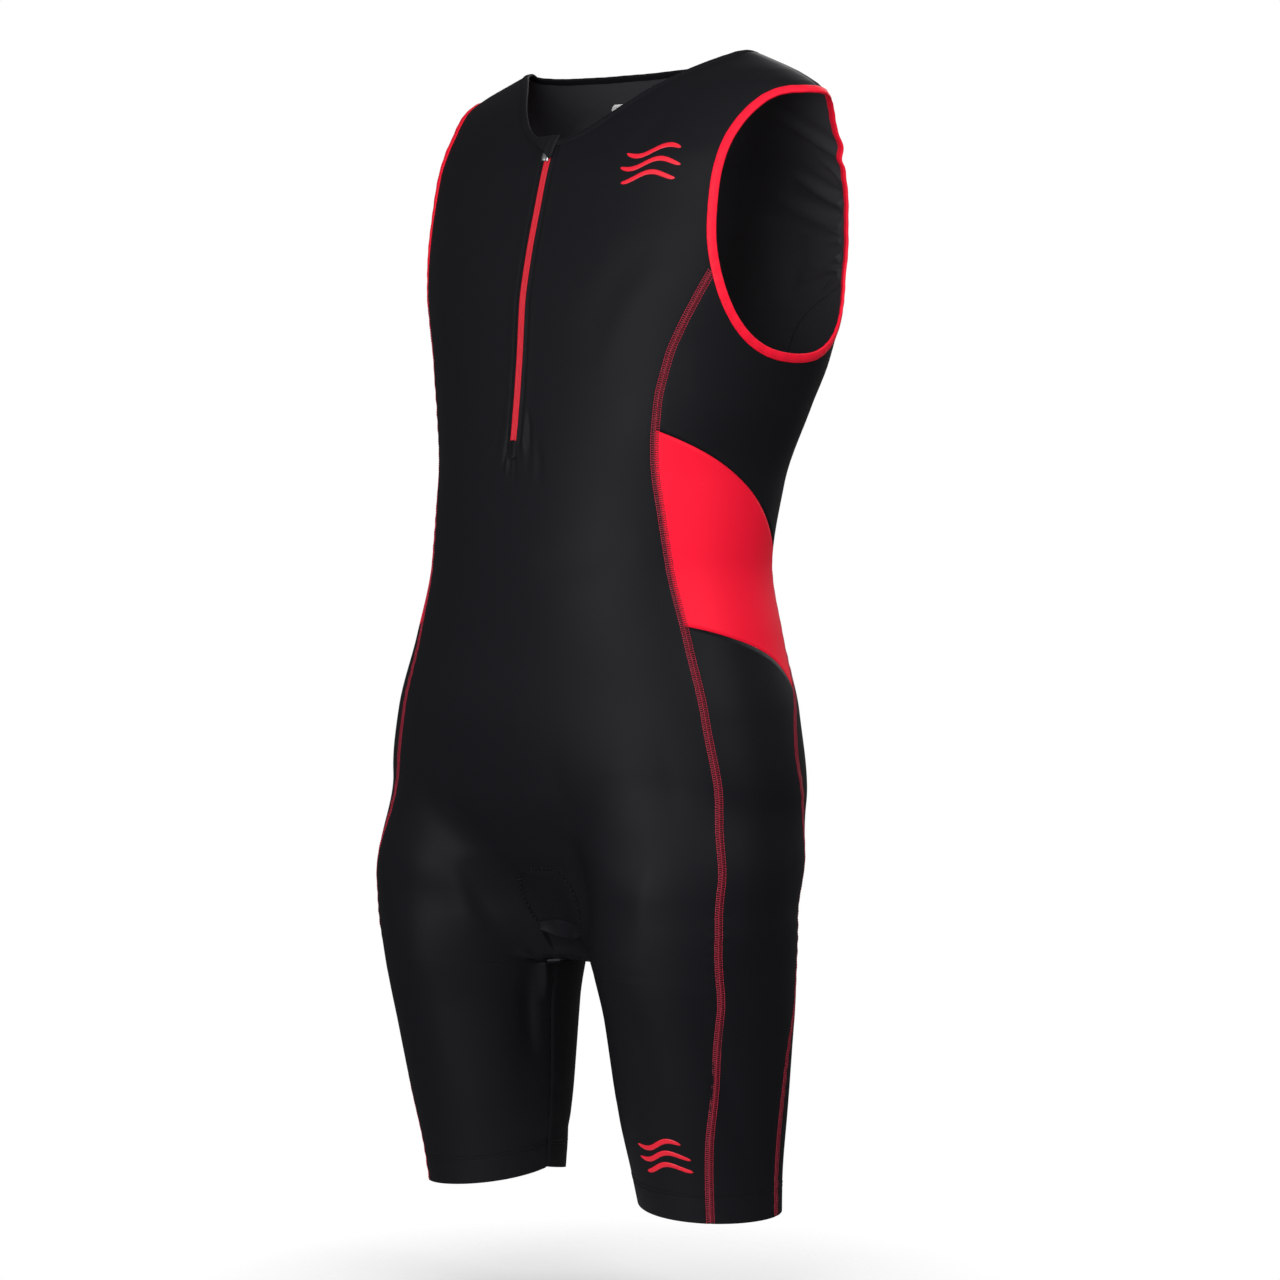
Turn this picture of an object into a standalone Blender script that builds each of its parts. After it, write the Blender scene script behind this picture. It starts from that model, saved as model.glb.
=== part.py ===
"""Triathlon suit, sleeveless, knee length above, worn shape: cut pieces, bindings, zip.

Metres, +Z up, the front faces -Y, the wearer's left is +X. The origin is the mid-point
between the two neck-shoulder points. Cloth is hollow: every piece is a thin wall on the
worn form. Positions on the form are given as (share, height): share runs along the half
section from the front middle or inseam (0) round the side to the back one (1).
"""
import math

import bmesh
import bpy
import numpy as np

for old in list(bpy.data.objects):
    bpy.data.objects.remove(old, do_unlink=True)

WALL = 0.0012
SEAM_GAP = 0.0003
BINDING_GAP = 0.0005
BINDING_WIDE = 0.0062
NECK_BINDING_WIDE = 0.0050
BINDING_PROUD = 0.0006
ZIP_SLIT_HALF = 0.0032
ZIP_HALF = 0.0028
ZIP_TOP = -0.0800
ZIP_END = -0.3070
HEM_HEIGHT = -0.9110
HEM_RISE = 0.0160
COLUMNS = 7
SIDE_COLUMNS = 8

TORSO = np.array([
    # height, half_width, front, back, middle, squareness
    (0.004, 0.106, 0.030, 0.054, 0.042, 2.10),
    (0.000, 0.119, 0.018, 0.060, 0.042, 2.10),
    (-0.008, 0.138, 0.005, 0.070, 0.042, 2.10),
    (-0.020, 0.164, -0.012, 0.082, 0.042, 2.10),
    (-0.034, 0.184, -0.029, 0.094, 0.042, 2.15),
    (-0.050, 0.192, -0.045, 0.107, 0.042, 2.20),
    (-0.068, 0.193, -0.059, 0.121, 0.042, 2.30),
    (-0.090, 0.191, -0.070, 0.137, 0.042, 2.40),
    (-0.120, 0.189, -0.079, 0.150, 0.042, 2.40),
    (-0.160, 0.185, -0.090, 0.156, 0.042, 2.40),
    (-0.200, 0.178, -0.098, 0.156, 0.041, 2.40),
    (-0.240, 0.169, -0.101, 0.152, 0.037, 2.35),
    (-0.280, 0.159, -0.105, 0.138, 0.027, 2.30),
    (-0.340, 0.146, -0.113, 0.119, 0.010, 2.25),
    (-0.400, 0.145, -0.120, 0.107, -0.004, 2.20),
    (-0.460, 0.159, -0.124, 0.110, -0.012, 2.20),
    (-0.520, 0.177, -0.130, 0.118, -0.018, 2.20),
    (-0.580, 0.186, -0.121, 0.118, -0.022, 2.25),
    (-0.630, 0.178, -0.098, 0.108, -0.022, 2.25),
    (-0.670, 0.152, -0.068, 0.088, -0.022, 2.20),
    (-0.700, 0.118, -0.050, 0.056, -0.022, 2.10),
    (-0.716, 0.080, -0.038, 0.022, -0.022, 2.00),
    (-0.724, 0.040, -0.029, -0.006, -0.022, 2.00),
])
LEG = np.array([
    # height, centre_x, centre_y, half_width, half_depth, hollow of the inner front
    (-0.560, 0.100, -0.026, 0.080, 0.102, 0.10),
    (-0.620, 0.104, -0.027, 0.083, 0.100, 0.22),
    (-0.680, 0.106, -0.026, 0.083, 0.094, 0.26),
    (-0.720, 0.109, -0.023, 0.077, 0.090, 0.26),
    (-0.760, 0.112, -0.019, 0.071, 0.083, 0.18),
    (-0.830, 0.112, -0.013, 0.065, 0.070, 0.06),
    (-0.880, 0.113, -0.008, 0.058, 0.061, 0.00),
    (-0.930, 0.115, -0.003, 0.053, 0.055, 0.00),
])
TORSO_TO_LEGS = 0.030
LEG_TO_LEG = 0.020

ARMHOLE = np.array([
    # share, height, and on the wearer's right: share less, height more
    # edge of the cut pieces, from the shoulder over the front, under the arm, up the back
    (0.5140, -0.0330, 0.000, 0.0150),
    (0.4750, -0.0335, 0.010, 0.0130),
    (0.4350, -0.0350, 0.022, 0.0095),
    (0.4000, -0.0400, 0.031, 0.0050),
    (0.3700, -0.0485, 0.035, 0.0020),
    (0.3450, -0.0610, 0.032, 0.0000),
    (0.3220, -0.0800, 0.022, 0.0000),
    (0.3080, -0.1050, 0.010, 0.0000),
    (0.3050, -0.1300, 0.000, 0.0000),
    (0.3090, -0.1550, 0.000, 0.0000),
    (0.3220, -0.1780, 0.000, 0.0000),
    (0.3440, -0.2020, 0.000, 0.0000),
    (0.3700, -0.2200, 0.000, 0.0000),
    (0.4030, -0.2335, 0.000, 0.0000),
    (0.4430, -0.2420, 0.000, 0.0000),
    (0.4900, -0.2455, 0.000, 0.0000),
    (0.5400, -0.2450, 0.000, 0.0000),
    (0.5830, -0.2400, 0.000, 0.0000),
    (0.6200, -0.2300, 0.000, 0.0000),
    (0.6520, -0.2140, 0.000, 0.0000),
    (0.6740, -0.1960, 0.000, 0.0000),
    (0.6860, -0.1780, 0.000, 0.0000),
    (0.6860, -0.1500, 0.000, 0.0000),
    (0.6780, -0.1250, 0.000, 0.0000),
    (0.6660, -0.1000, 0.000, 0.0000),
    (0.6500, -0.0780, 0.000, 0.0000),
    (0.6300, -0.0600, 0.000, 0.0020),
    (0.6040, -0.0465, 0.000, 0.0055),
    (0.5760, -0.0385, 0.000, 0.0095),
    (0.5470, -0.0345, 0.000, 0.0130),
])
FRONT_SEAM_KNOT = 10
BACK_SEAM_KNOT = 21

FRONT_SEAM = np.array([
    # height, share, shift on the wearer's right
    (-0.178, 0.322, 0.000),
    (-0.200, 0.303, 0.000),
    (-0.220, 0.287, -0.008),
    (-0.245, 0.273, -0.028),
    (-0.270, 0.270, -0.044),
    (-0.300, 0.277, -0.044),
    (-0.335, 0.295, -0.010),
    (-0.370, 0.319, 0.038),
    (-0.400, 0.337, 0.060),
    (-0.450, 0.355, 0.082),
    (-0.500, 0.366, 0.098),
    (-0.550, 0.373, 0.100),
    (-0.600, 0.381, 0.088),
    (-0.650, 0.408, 0.066),
    (-0.700, 0.425, 0.035),
    (-0.750, 0.401, 0.012),
    (-0.800, 0.390, 0.000),
    (-0.850, 0.372, 0.000),
    (-0.915, 0.360, 0.000),
])
BACK_SEAM = np.array([
    # height, share, shift on the wearer's right
    (-0.178, 0.686, 0.000),
    (-0.185, 0.737, 0.000),
    (-0.192, 0.782, 0.000),
    (-0.202, 0.822, 0.000),
    (-0.216, 0.845, 0.000),
    (-0.235, 0.853, 0.000),
    (-0.265, 0.843, 0.000),
    (-0.305, 0.808, 0.004),
    (-0.352, 0.750, 0.015),
    (-0.400, 0.698, 0.030),
    (-0.450, 0.670, 0.045),
    (-0.502, 0.617, 0.045),
    (-0.530, 0.582, 0.040),
    (-0.555, 0.568, 0.035),
    (-0.585, 0.585, 0.031),
    (-0.625, 0.630, 0.025),
    (-0.665, 0.657, 0.019),
    (-0.705, 0.648, 0.010),
    (-0.750, 0.597, 0.000),
    (-0.800, 0.560, 0.000),
    (-0.850, 0.545, 0.000),
    (-0.915, 0.545, 0.000),
])
WAIST_TOP = np.array([
    # way across the side from front seam to back seam, height
    (0.00, -0.300),
    (0.16, -0.311),
    (0.30, -0.322),
    (0.43, -0.334),
    (0.54, -0.346),
    (0.64, -0.359),
    (0.73, -0.372),
    (0.82, -0.384),
    (0.91, -0.394),
    (1.00, -0.401),
])
WAIST_LOW = np.array([
    (0.00, -0.450),
    (0.18, -0.4545),
    (0.37, -0.4605),
    (0.55, -0.467),
    (0.73, -0.476),
    (0.87, -0.487),
    (1.00, -0.502),
])
NECKLINE_FRONT = np.array([
    # height, half_opening
    (-0.0745, 0.0000),
    (-0.0735, 0.0120),
    (-0.0690, 0.0250),
    (-0.0600, 0.0395),
    (-0.0480, 0.0530),
    (-0.0340, 0.0680),
    (-0.0200, 0.0850),
    (-0.0080, 0.1045),
    (-0.0030, 0.1140),
    (0.0000, 0.1190),
])
NECKLINE_BACK_DROP = 0.0080


def follow(table, z):
    """Smooth, overshoot-free reading of a table's columns at the heights z."""
    order = np.argsort(table[:, 0])
    t = table[order, 0]
    v = table[order, 1:]
    h = np.diff(t)[:, None]
    d = np.diff(v, axis=0) / h
    m = np.zeros_like(v)
    same = d[:-1] * d[1:] > 0
    product = np.where(same, d[:-1] * d[1:], 1.0)
    m[1:-1] = np.where(same, 2.0 * product / np.where(same, d[:-1] + d[1:], 1.0), 0.0)
    m[0] = d[0]
    m[-1] = d[-1]
    z = np.asarray(z, float)
    i = np.clip(np.searchsorted(t, z) - 1, 0, len(t) - 2)
    s = np.clip((z - t[i]) / h[i, 0], 0.0, 1.0)[..., None]
    out = ((2 * s**3 - 3 * s**2 + 1) * v[i] + (s**3 - 2 * s**2 + s) * h[i] * m[i]
           + (3 * s**2 - 2 * s**3) * v[i + 1] + (s**3 - s**2) * h[i] * m[i + 1])
    return np.moveaxis(out, -1, 0)


def blend(p, q, k):
    """Soft minimum of two distances over the width k."""
    h = np.clip(0.5 + 0.5 * (q - p) / k, 0.0, 1.0)
    return q * (1 - h) + p * h - k * h * (1 - h)


def field(x, y, z):
    """Distance-like value of the worn form: a superellipse torso softly joined to two legs.

    A leg's section is an ellipse, narrowed on its inner front with the square of the depth.
    """
    x, y, z = np.broadcast_arrays(x, y, z)
    half, front, back, mid, square = follow(TORSO, z)
    reach = np.where(y < mid, mid - front, back - mid)
    ring = (np.abs(x) / half) ** square + (np.abs(y - mid) / reach) ** square
    torso = (np.maximum(ring, 1e-12) ** (1 / square) - 1) * np.minimum(half, reach)
    torso = torso + np.maximum(-0.716 - z, 0.0) * 3.0
    cx, cy, wide, deep, hollow = follow(LEG, z)
    hollow = hollow * np.minimum(y - cy, 0) ** 2 / deep
    legs = []
    for side in (-1, 1):
        reach = np.where(side * x < cx, wide - hollow, wide)
        r = np.sqrt(((x - side * cx) / reach) ** 2 + ((y - cy) / deep) ** 2)
        legs.append((r - 1) * np.minimum(wide, deep))
    both = blend(legs[0], legs[1], LEG_TO_LEG)
    up = np.clip((z + 0.66) / 0.10, 0.0, None)
    return blend(torso, both + 0.05 * up * up, TORSO_TO_LEGS)


def outward(p):
    """Unit outward normals of the form at the points p."""
    step = 2e-4
    parts = []
    for axis in np.eye(3) * step:
        a = p + axis
        b = p - axis
        parts.append(field(a[..., 0], a[..., 1], a[..., 2]) - field(b[..., 0], b[..., 1], b[..., 2]))
    g = np.stack(parts, -1)
    return g / np.maximum(np.linalg.norm(g, axis=-1, keepdims=True), 1e-12)


def crotch_point():
    """Height and depth of the lowest cloth between the legs, on the middle plane."""
    y = np.linspace(-0.08, 0.05, 131)
    low = -0.80
    high = -0.66
    for _ in range(30):
        z = (low + high) / 2
        if (field(0 * y, y, z) < 0).any():
            high = z
        else:
            low = z
    return high, float(follow(LEG, high)[1])


CROTCH_Z, CROTCH_Y = crotch_point()


def march(inside, reach, steps):
    """First distance along each ray where the form ends, by stepping and then halving."""
    first = np.full(reach.shape, steps)
    hit = np.zeros(reach.shape, bool)
    for k in range(1, steps + 1):
        new = ~inside(reach * k / steps) & ~hit
        first[new] = k
        hit |= new
    low = reach * (first - 1) / steps
    high = reach * first / steps
    for _ in range(26):
        half = (low + high) / 2
        keep = inside(half)
        low = np.where(keep, half, low)
        high = np.where(keep, high, half)
    return high, hit


def half_sections(heights, columns=161, rays=321):
    """Half sections of the wearer's left, evenly spaced along their length."""
    z = np.asarray(heights, float)[:, None]
    half, _, _, mid, _ = follow(TORSO, z)
    leg_x, leg_y = follow(LEG, z)[:2]
    w = np.clip((z + 0.70) / 0.16, 0, 1)
    w = w * w * (3 - 2 * w)
    cx = leg_x * (1 - w) + w * 0.5 * half
    cy = leg_y * (1 - w) + w * mid
    angle = np.linspace(0, 2 * math.pi, rays)[None, :]
    dx = -np.cos(angle)
    dy = -np.sin(angle)
    reach = np.minimum(0.26, np.where(dx < -1e-9, cx / np.maximum(-dx, 1e-9), 9.0))
    r, hit = march(lambda d: field(cx + d * dx, cy + d * dy, z) < 0, reach, 44)
    x = cx + r * dx
    y = cy + r * dy
    w = np.clip((z - CROTCH_Z) / 0.05, 0, 1)
    y0 = CROTCH_Y * (1 - w) + cy * w
    way = np.array([[-1.0, 1.0]])
    ends, _ = march(lambda d: field(0 * d, y0 + way * d, z) < 0, np.full((len(z), 2), 0.25), 400)
    ends = y0 + way * ends
    out = np.zeros((len(z), columns, 2))
    for k in range(len(z)):
        if z[k, 0] > CROTCH_Z:
            px = np.concatenate([[0], x[k, hit[k]], [0]])
            py = np.concatenate([[ends[k, 0]], y[k, hit[k]], [ends[k, 1]]])
        else:
            px = x[k]
            py = y[k]
        s = np.concatenate([[0], np.cumsum(np.hypot(np.diff(px), np.diff(py)))])
        t = np.linspace(0, s[-1], columns)
        out[k, :, 0] = np.interp(t, s, px)
        out[k, :, 1] = np.interp(t, s, py)
    return out


NEAR = CROTCH_Z + 1e-6 + 0.10 * np.linspace(0, 1, 46) ** 2.2
ABOVE = np.concatenate([NEAR, np.linspace(NEAR[-1], 0.003, 120)[1:]])
BELOW = np.concatenate([CROTCH_Z - 1e-6 - 0.05 * np.linspace(0, 1, 24) ** 2,
                        np.linspace(CROTCH_Z - 0.05, -0.93, 40)[1:]])[::-1]
ABOVE_RINGS = half_sections(ABOVE)
BELOW_RINGS = half_sections(BELOW)


def skin(share, z, side=1, out=0.0):
    """Points on the form at (share, height) on one side, moved outward by `out`, and normals."""
    share, z = np.broadcast_arrays(np.asarray(share, float), np.asarray(z, float))
    xy = np.zeros(share.shape + (2,))
    for heights, rings, use in ((ABOVE, ABOVE_RINGS, z > CROTCH_Z), (BELOW, BELOW_RINGS, z <= CROTCH_Z)):
        i = np.clip(np.searchsorted(heights, z) - 1, 0, len(heights) - 2)
        s = np.clip((z - heights[i]) / (heights[i + 1] - heights[i]), 0, 1)[..., None]
        q = np.clip(share, 0, 1) * (rings.shape[1] - 1)
        j = np.clip(q.astype(int), 0, rings.shape[1] - 2)
        t = (q - j)[..., None]
        low = rings[i, j] * (1 - t) + rings[i, j + 1] * t
        high = rings[i + 1, j] * (1 - t) + rings[i + 1, j + 1] * t
        xy = np.where(use[..., None], low * (1 - s) + high * s, xy)
    p = np.concatenate([xy, z[..., None]], -1)
    n = outward(p)
    on_middle = p[..., 0] < 1e-6
    n[..., 0] = np.where(on_middle, 0.0, n[..., 0])
    p = p + n * np.asarray(out)[..., None]
    p[..., 0] *= side
    n[..., 0] *= side
    return p, n


def ring_length(z):
    """Length of the half section at height z."""
    def lengths(rings):
        return np.hypot(np.diff(rings[..., 0], axis=1), np.diff(rings[..., 1], axis=1)).sum(1)
    z = np.asarray(z, float)
    above = np.interp(z, ABOVE, lengths(ABOVE_RINGS))
    below = np.interp(z, BELOW, lengths(BELOW_RINGS))
    return np.where(z > CROTCH_Z, above, below)


def side_shares(rings):
    """Share of each ring's outer point that is level with the crotch."""
    steps = np.linspace(0, 1, rings.shape[1])
    return np.array([np.interp(CROTCH_Y, r[r[:, 0] > 0.10, 1], steps[r[:, 0] > 0.10]) for r in rings])


PAST_TOP = CROTCH_Z + 0.035
PAST_LOW = CROTCH_Z - 0.025
NEAR_ABOVE = side_shares(ABOVE_RINGS[:len(NEAR)])
NEAR_BELOW = side_shares(BELOW_RINGS[-24:])


def side_share(z):
    """Share of the outer point level with the crotch, for heights within 0.05 of the crotch."""
    z = np.asarray(z, float)
    return np.where(z > CROTCH_Z, np.interp(z, NEAR, NEAR_ABOVE), np.interp(z, BELOW[-24:], NEAR_BELOW))


def widest(z):
    """Share of the widest point of the ring at height z: the ridge of the shoulder."""
    mid = follow(TORSO, ABOVE)[3]
    steps = np.linspace(0, 1, ABOVE_RINGS.shape[1])
    share = [np.interp(m, ring[:, 1], steps) for m, ring in zip(mid, ABOVE_RINGS)]
    return np.interp(z, ABOVE, share)


def share_at_width(x, z):
    """Share of the front point of the ring at height z that lies x from the middle plane."""
    out = []
    for xk, zk in zip(np.atleast_1d(x), np.atleast_1d(z)):
        u = np.linspace(0, float(widest(zk)), 400)
        p, _ = skin(u, np.full(400, zk))
        out.append(np.interp(xk, np.maximum.accumulate(p[:, 0]), u))
    return np.array(out)


def loop_at(table, t):
    """Closed Catmull-Rom curve through the table's rows, at the row numbers t."""
    count = len(table)
    t = np.asarray(t, float)
    i = np.floor(t).astype(int)
    s = (t - i)[..., None]
    a, b, c, d = (table[(i + k) % count] for k in (-1, 0, 1, 2))
    return 0.5 * (2 * b + (c - a) * s + (2 * a - 5 * b + 4 * c - d) * s**2 + (3 * b - a - 3 * c + d) * s**3)


def armhole(t, side):
    """Points (share, height) of the armhole's edge at the row numbers t."""
    share, height, less, more = np.moveaxis(loop_at(ARMHOLE, t), -1, 0)
    if side < 0:
        share = share - less
        height = height + more
    return np.stack([share, height], -1)


def plain_share(table, z, side):
    """Share of a lengthwise seam at height z as its table has it, with the twist of the right side."""
    share, shift = follow(table, z)
    return share - (shift if side < 0 else 0.0)


def seam_share(table, z, side):
    """Share of a lengthwise seam at height z.

    Past the crotch, where the rings change length at once, the seam keeps its distance from the
    leg's outer side, eased from the one above to the one below.
    """
    z = np.asarray(z, float)
    top, low = ((plain_share(table, h, side) - side_share(h)) * ring_length(h) for h in (PAST_TOP, PAST_LOW))
    way = np.clip((PAST_TOP - z) / (PAST_TOP - PAST_LOW), 0, 1)
    way = way * way * (3 - 2 * way)
    past = side_share(z) + (top + (low - top) * way) / ring_length(z)
    return np.where((z > PAST_LOW) & (z < PAST_TOP), past, plain_share(table, z, side))


def hem_height(share):
    """The hem rises a little toward the inseam."""
    away = np.where(share < 0.47, (0.47 - share) / 0.47, (share - 0.47) / 0.53)
    return HEM_HEIGHT + HEM_RISE * np.abs(away) ** 2.2


def mesh_object(name, verts, faces, colour, roughness, metallic=0.0, smooth=False):
    """Object from points and faces, with its own material."""
    mesh = bpy.data.meshes.new(name)
    bm = bmesh.new()
    made = [bm.verts.new(v) for v in verts]
    for f in faces:
        bm.faces.new([made[k] for k in f])
    bmesh.ops.remove_doubles(bm, verts=bm.verts, dist=2e-6)
    bmesh.ops.dissolve_degenerate(bm, edges=bm.edges, dist=1e-6)
    bmesh.ops.recalc_face_normals(bm, faces=bm.faces)
    if bm.calc_volume(signed=True) < 0:
        bmesh.ops.reverse_faces(bm, faces=bm.faces)
    bm.to_mesh(mesh)
    bm.free()
    for polygon in mesh.polygons:
        polygon.use_smooth = smooth
    obj = bpy.data.objects.new(name, mesh)
    material = bpy.data.materials.new(name)
    material.use_nodes = True
    shader = material.node_tree.nodes["Principled BSDF"]
    shader.inputs["Base Color"].default_value = (*colour, 1.0)
    shader.inputs["Roughness"].default_value = roughness
    shader.inputs["Metallic"].default_value = metallic
    mesh.materials.append(material)
    bpy.context.scene.collection.objects.link(obj)
    return obj


def thick_sheet(name, grids, colour, roughness, wall=WALL, out=0.0):
    """Closed wall from grids of (share, height, side); shared points of the grids are welded.

    Both faces of the wall are split along the same, shorter diagonal, so they stay parallel.
    """
    points = []
    normals = []
    quads = []
    known = {}
    for share, z, side in grids:
        p, n = skin(share, z, side)
        ids = np.zeros(share.shape, int)
        for index in np.ndindex(share.shape):
            key = tuple(np.round(p[index] / 2e-6).astype(int))
            if key not in known:
                known[key] = len(points)
                points.append(p[index])
                normals.append(n[index])
            ids[index] = known[key]
        for i in range(share.shape[0] - 1):
            for j in range(share.shape[1] - 1):
                quad = [ids[i, j], ids[i, j + 1], ids[i + 1, j + 1], ids[i + 1, j]]
                quads.append(quad if side > 0 else quad[::-1])
    points = np.array(points)
    normals = np.array(normals)
    count = len(points)
    verts = np.concatenate([points + normals * out, points + normals * (out - wall)])
    faces = []
    border = {}
    for quad in quads:
        ring = [v for k, v in enumerate(quad) if v != quad[k - 1]]
        if len(ring) < 3:
            continue
        triangles = [ring]
        if len(ring) == 4:
            first = np.linalg.norm(points[ring[0]] - points[ring[2]])
            second = np.linalg.norm(points[ring[1]] - points[ring[3]])
            a, b, c, d = ring if first <= second else ring[1:] + ring[:1]
            triangles = [[a, b, c], [a, c, d]]
        for triangle in triangles:
            faces.append(triangle)
            faces.append([v + count for v in reversed(triangle)])
        for k in range(len(ring)):
            border[(ring[k - 1], ring[k])] = border.get((ring[k - 1], ring[k]), 0) + 1
    for a, b in border:
        if (b, a) not in border:
            faces.append([b, a, a + count, b + count])
    return mesh_object(name, verts, faces, colour, roughness)


def coons(top, low, left, right, down):
    """Patch between four edges given as (share, height) rows, `down` being each row's way down."""
    r = down[:, None, None]
    c = np.linspace(0, 1, len(top))[None, :, None]
    ruled = (1 - r) * top[None] + r * low[None] + (1 - c) * left[:, None] + c * right[:, None]
    corners = ((1 - r) * ((1 - c) * top[0] + c * top[-1]) + r * ((1 - c) * low[0] + c * low[-1]))
    return ruled - corners


def inset(edge, way):
    """Move the points of a lengthwise edge along the ring by half a seam gap."""
    moved = edge.copy()
    moved[:, 0] += way * 0.5 * SEAM_GAP / ring_length(edge[:, 1])
    return moved


def seam_line(table, heights, side):
    """Points (share, height) of a lengthwise seam."""
    return np.stack([seam_share(table, heights, side), heights], -1)


UPPER_ROWS = np.linspace(0, 1, 8) ** 1.5
WAIST_ROWS = np.linspace(0, 1, 8)
THIGH_ROWS = 1 - (1 - np.linspace(0, 1, 12)) ** 2.1
LEG_ROWS = (np.arange(1, 12) / 11) ** 2.3
TIP_Z = CROTCH_Z + 4e-6


def leg_seam(table, side):
    """Points of a lengthwise seam below the crotch, one per leg row."""
    z = CROTCH_Z + LEG_ROWS * (HEM_HEIGHT - CROTCH_Z)
    for _ in range(6):
        share = seam_share(table, z, side)
        z = CROTCH_Z + LEG_ROWS * (hem_height(share) - CROTCH_Z)
    return np.stack([share, z], -1)


def body_heights(start, waist, thigh):
    """Heights of one seam's rows from the armhole to the crotch."""
    upper = start + (waist - start) * UPPER_ROWS
    middle = waist + (thigh - waist) * WAIST_ROWS[1:]
    lower = thigh + (TIP_Z - thigh) * THIGH_ROWS[1:]
    return upper, middle, lower


FRONT_HEIGHTS = body_heights(ARMHOLE[FRONT_SEAM_KNOT, 1], WAIST_TOP[0, 1], WAIST_LOW[0, 1])
BACK_HEIGHTS = body_heights(ARMHOLE[BACK_SEAM_KNOT, 1], WAIST_TOP[-1, 1], WAIST_LOW[-1, 1])


def across(left, right, columns):
    """Grid of rows from the left points to the right ones."""
    s = np.linspace(0, 1, columns + 1)[None, :, None]
    return left[:, None] * (1 - s) + right[:, None] * s


def leg_grid(first, last, columns):
    """Rows of a leg between two shares, each at its fraction of the way from crotch to hem."""
    grid = across(first, last, columns)
    grid[..., 1] = CROTCH_Z + LEG_ROWS[:, None] * (hem_height(grid[..., 0]) - CROTCH_Z)
    return grid


NECK_WAY = np.linspace(0, 1, 9)
neck_table = np.column_stack([np.linspace(1, 0, len(NECKLINE_FRONT)), NECKLINE_FRONT])
neck_z, neck_x = follow(neck_table, NECK_WAY)
neck_x = np.maximum(neck_x, ZIP_SLIT_HALF)
NECK_FRONT_EDGE = np.stack([share_at_width(neck_x, neck_z), neck_z], -1)
NECK_FRONT_EDGE[0] = (widest(0.0), 0.0)
back_share = widest(0.0) + (1 - widest(0.0)) * NECK_WAY
NECK_BACK_EDGE = np.stack([back_share, -NECKLINE_BACK_DROP * 1.15 * NECK_WAY / (NECK_WAY + 0.15)], -1)


def slit_share(z):
    """Share of the zip slit's edge."""
    return ZIP_SLIT_HALF / ring_length(z)


def front_grid(side):
    """One side of the front: shoulder and neckline, chest beside the zip, belly, leg."""
    upper, middle, lower = FRONT_HEIGHTS
    shoulder = across(NECK_FRONT_EDGE[:1], armhole([0.0], side), COLUMNS)
    shoulder[0, :, 0] = widest(shoulder[0, :, 1]) - 0.5 * SEAM_GAP / ring_length(shoulder[0, :, 1])
    neck = across(NECK_FRONT_EDGE[1:], armhole(np.linspace(0, 6, 9)[1:], side), COLUMNS)
    edge = armhole([7.0, 8.0, 9.0], side)
    chest_z = np.concatenate([edge[:, 1], upper[:-1]])
    chest_left = np.stack([slit_share(chest_z), chest_z], -1)
    chest_right = np.concatenate([edge, inset(seam_line(FRONT_SEAM, upper[:-1], side), -1)])
    end = np.array([(slit_share(ZIP_END), ZIP_END), (0.0, ZIP_END - 0.0035)])
    end_right = inset(seam_line(FRONT_SEAM, np.array([upper[-1], middle[0]]), side), -1)
    low = np.concatenate([middle[1:], lower])
    low_left = np.stack([0 * low, low], -1)
    low_right = inset(seam_line(FRONT_SEAM, low, side), -1)
    body = across(np.concatenate([chest_left, end, low_left]),
                  np.concatenate([chest_right, end_right, low_right]), COLUMNS)
    seam = inset(leg_seam(FRONT_SEAM, side), -1)
    inseam = inset(np.stack([0 * seam[:, 0], seam[:, 1]], -1), 1)
    return np.concatenate([shoulder, neck, body, leg_grid(inseam, seam, COLUMNS)])


def back_grid(side):
    """One side of the back: shoulder and neckline, blades, seat, leg."""
    upper, middle, lower = BACK_HEIGHTS
    shoulder = across(armhole([0.0], side), NECK_BACK_EDGE[:1], COLUMNS)
    shoulder[0, :, 0] = widest(shoulder[0, :, 1]) + 0.5 * SEAM_GAP / ring_length(shoulder[0, :, 1])
    neck = across(armhole(np.linspace(30, 25, 9)[1:], side), NECK_BACK_EDGE[1:], COLUMNS)
    edge = armhole([24.0, 23.0, 22.0], side)
    centre = np.array([(1.0, -0.035), (1.0, -0.075), (1.0, -0.125)])
    heights = np.concatenate([upper, middle, lower])
    left = np.concatenate([edge, inset(seam_line(BACK_SEAM, heights, side), 1)])
    right = np.concatenate([centre, np.stack([0 * heights + 1, heights], -1)])
    seam = inset(leg_seam(BACK_SEAM, side), 1)
    inseam = inset(np.stack([0 * seam[:, 0] + 1, seam[:, 1]], -1), -1)
    return np.concatenate([shoulder, neck, across(left, right, COLUMNS), leg_grid(seam, inseam, COLUMNS)])


def cross_seam(table, side):
    """Points of a crosswise seam of the side, from the front seam to the back seam."""
    way = np.linspace(0, 1, SIDE_COLUMNS + 1)
    z = follow(table, way)[0]
    first = seam_share(FRONT_SEAM, table[0, 1], side)
    last = seam_share(BACK_SEAM, table[-1, 1], side)
    return np.stack([first + (last - first) * way, z], -1)


def open_gap(edge, way):
    """Move a crosswise edge up or down by half a seam gap."""
    moved = edge.copy()
    moved[:, 1] += way * 0.5 * SEAM_GAP * 1.2
    return moved


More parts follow.
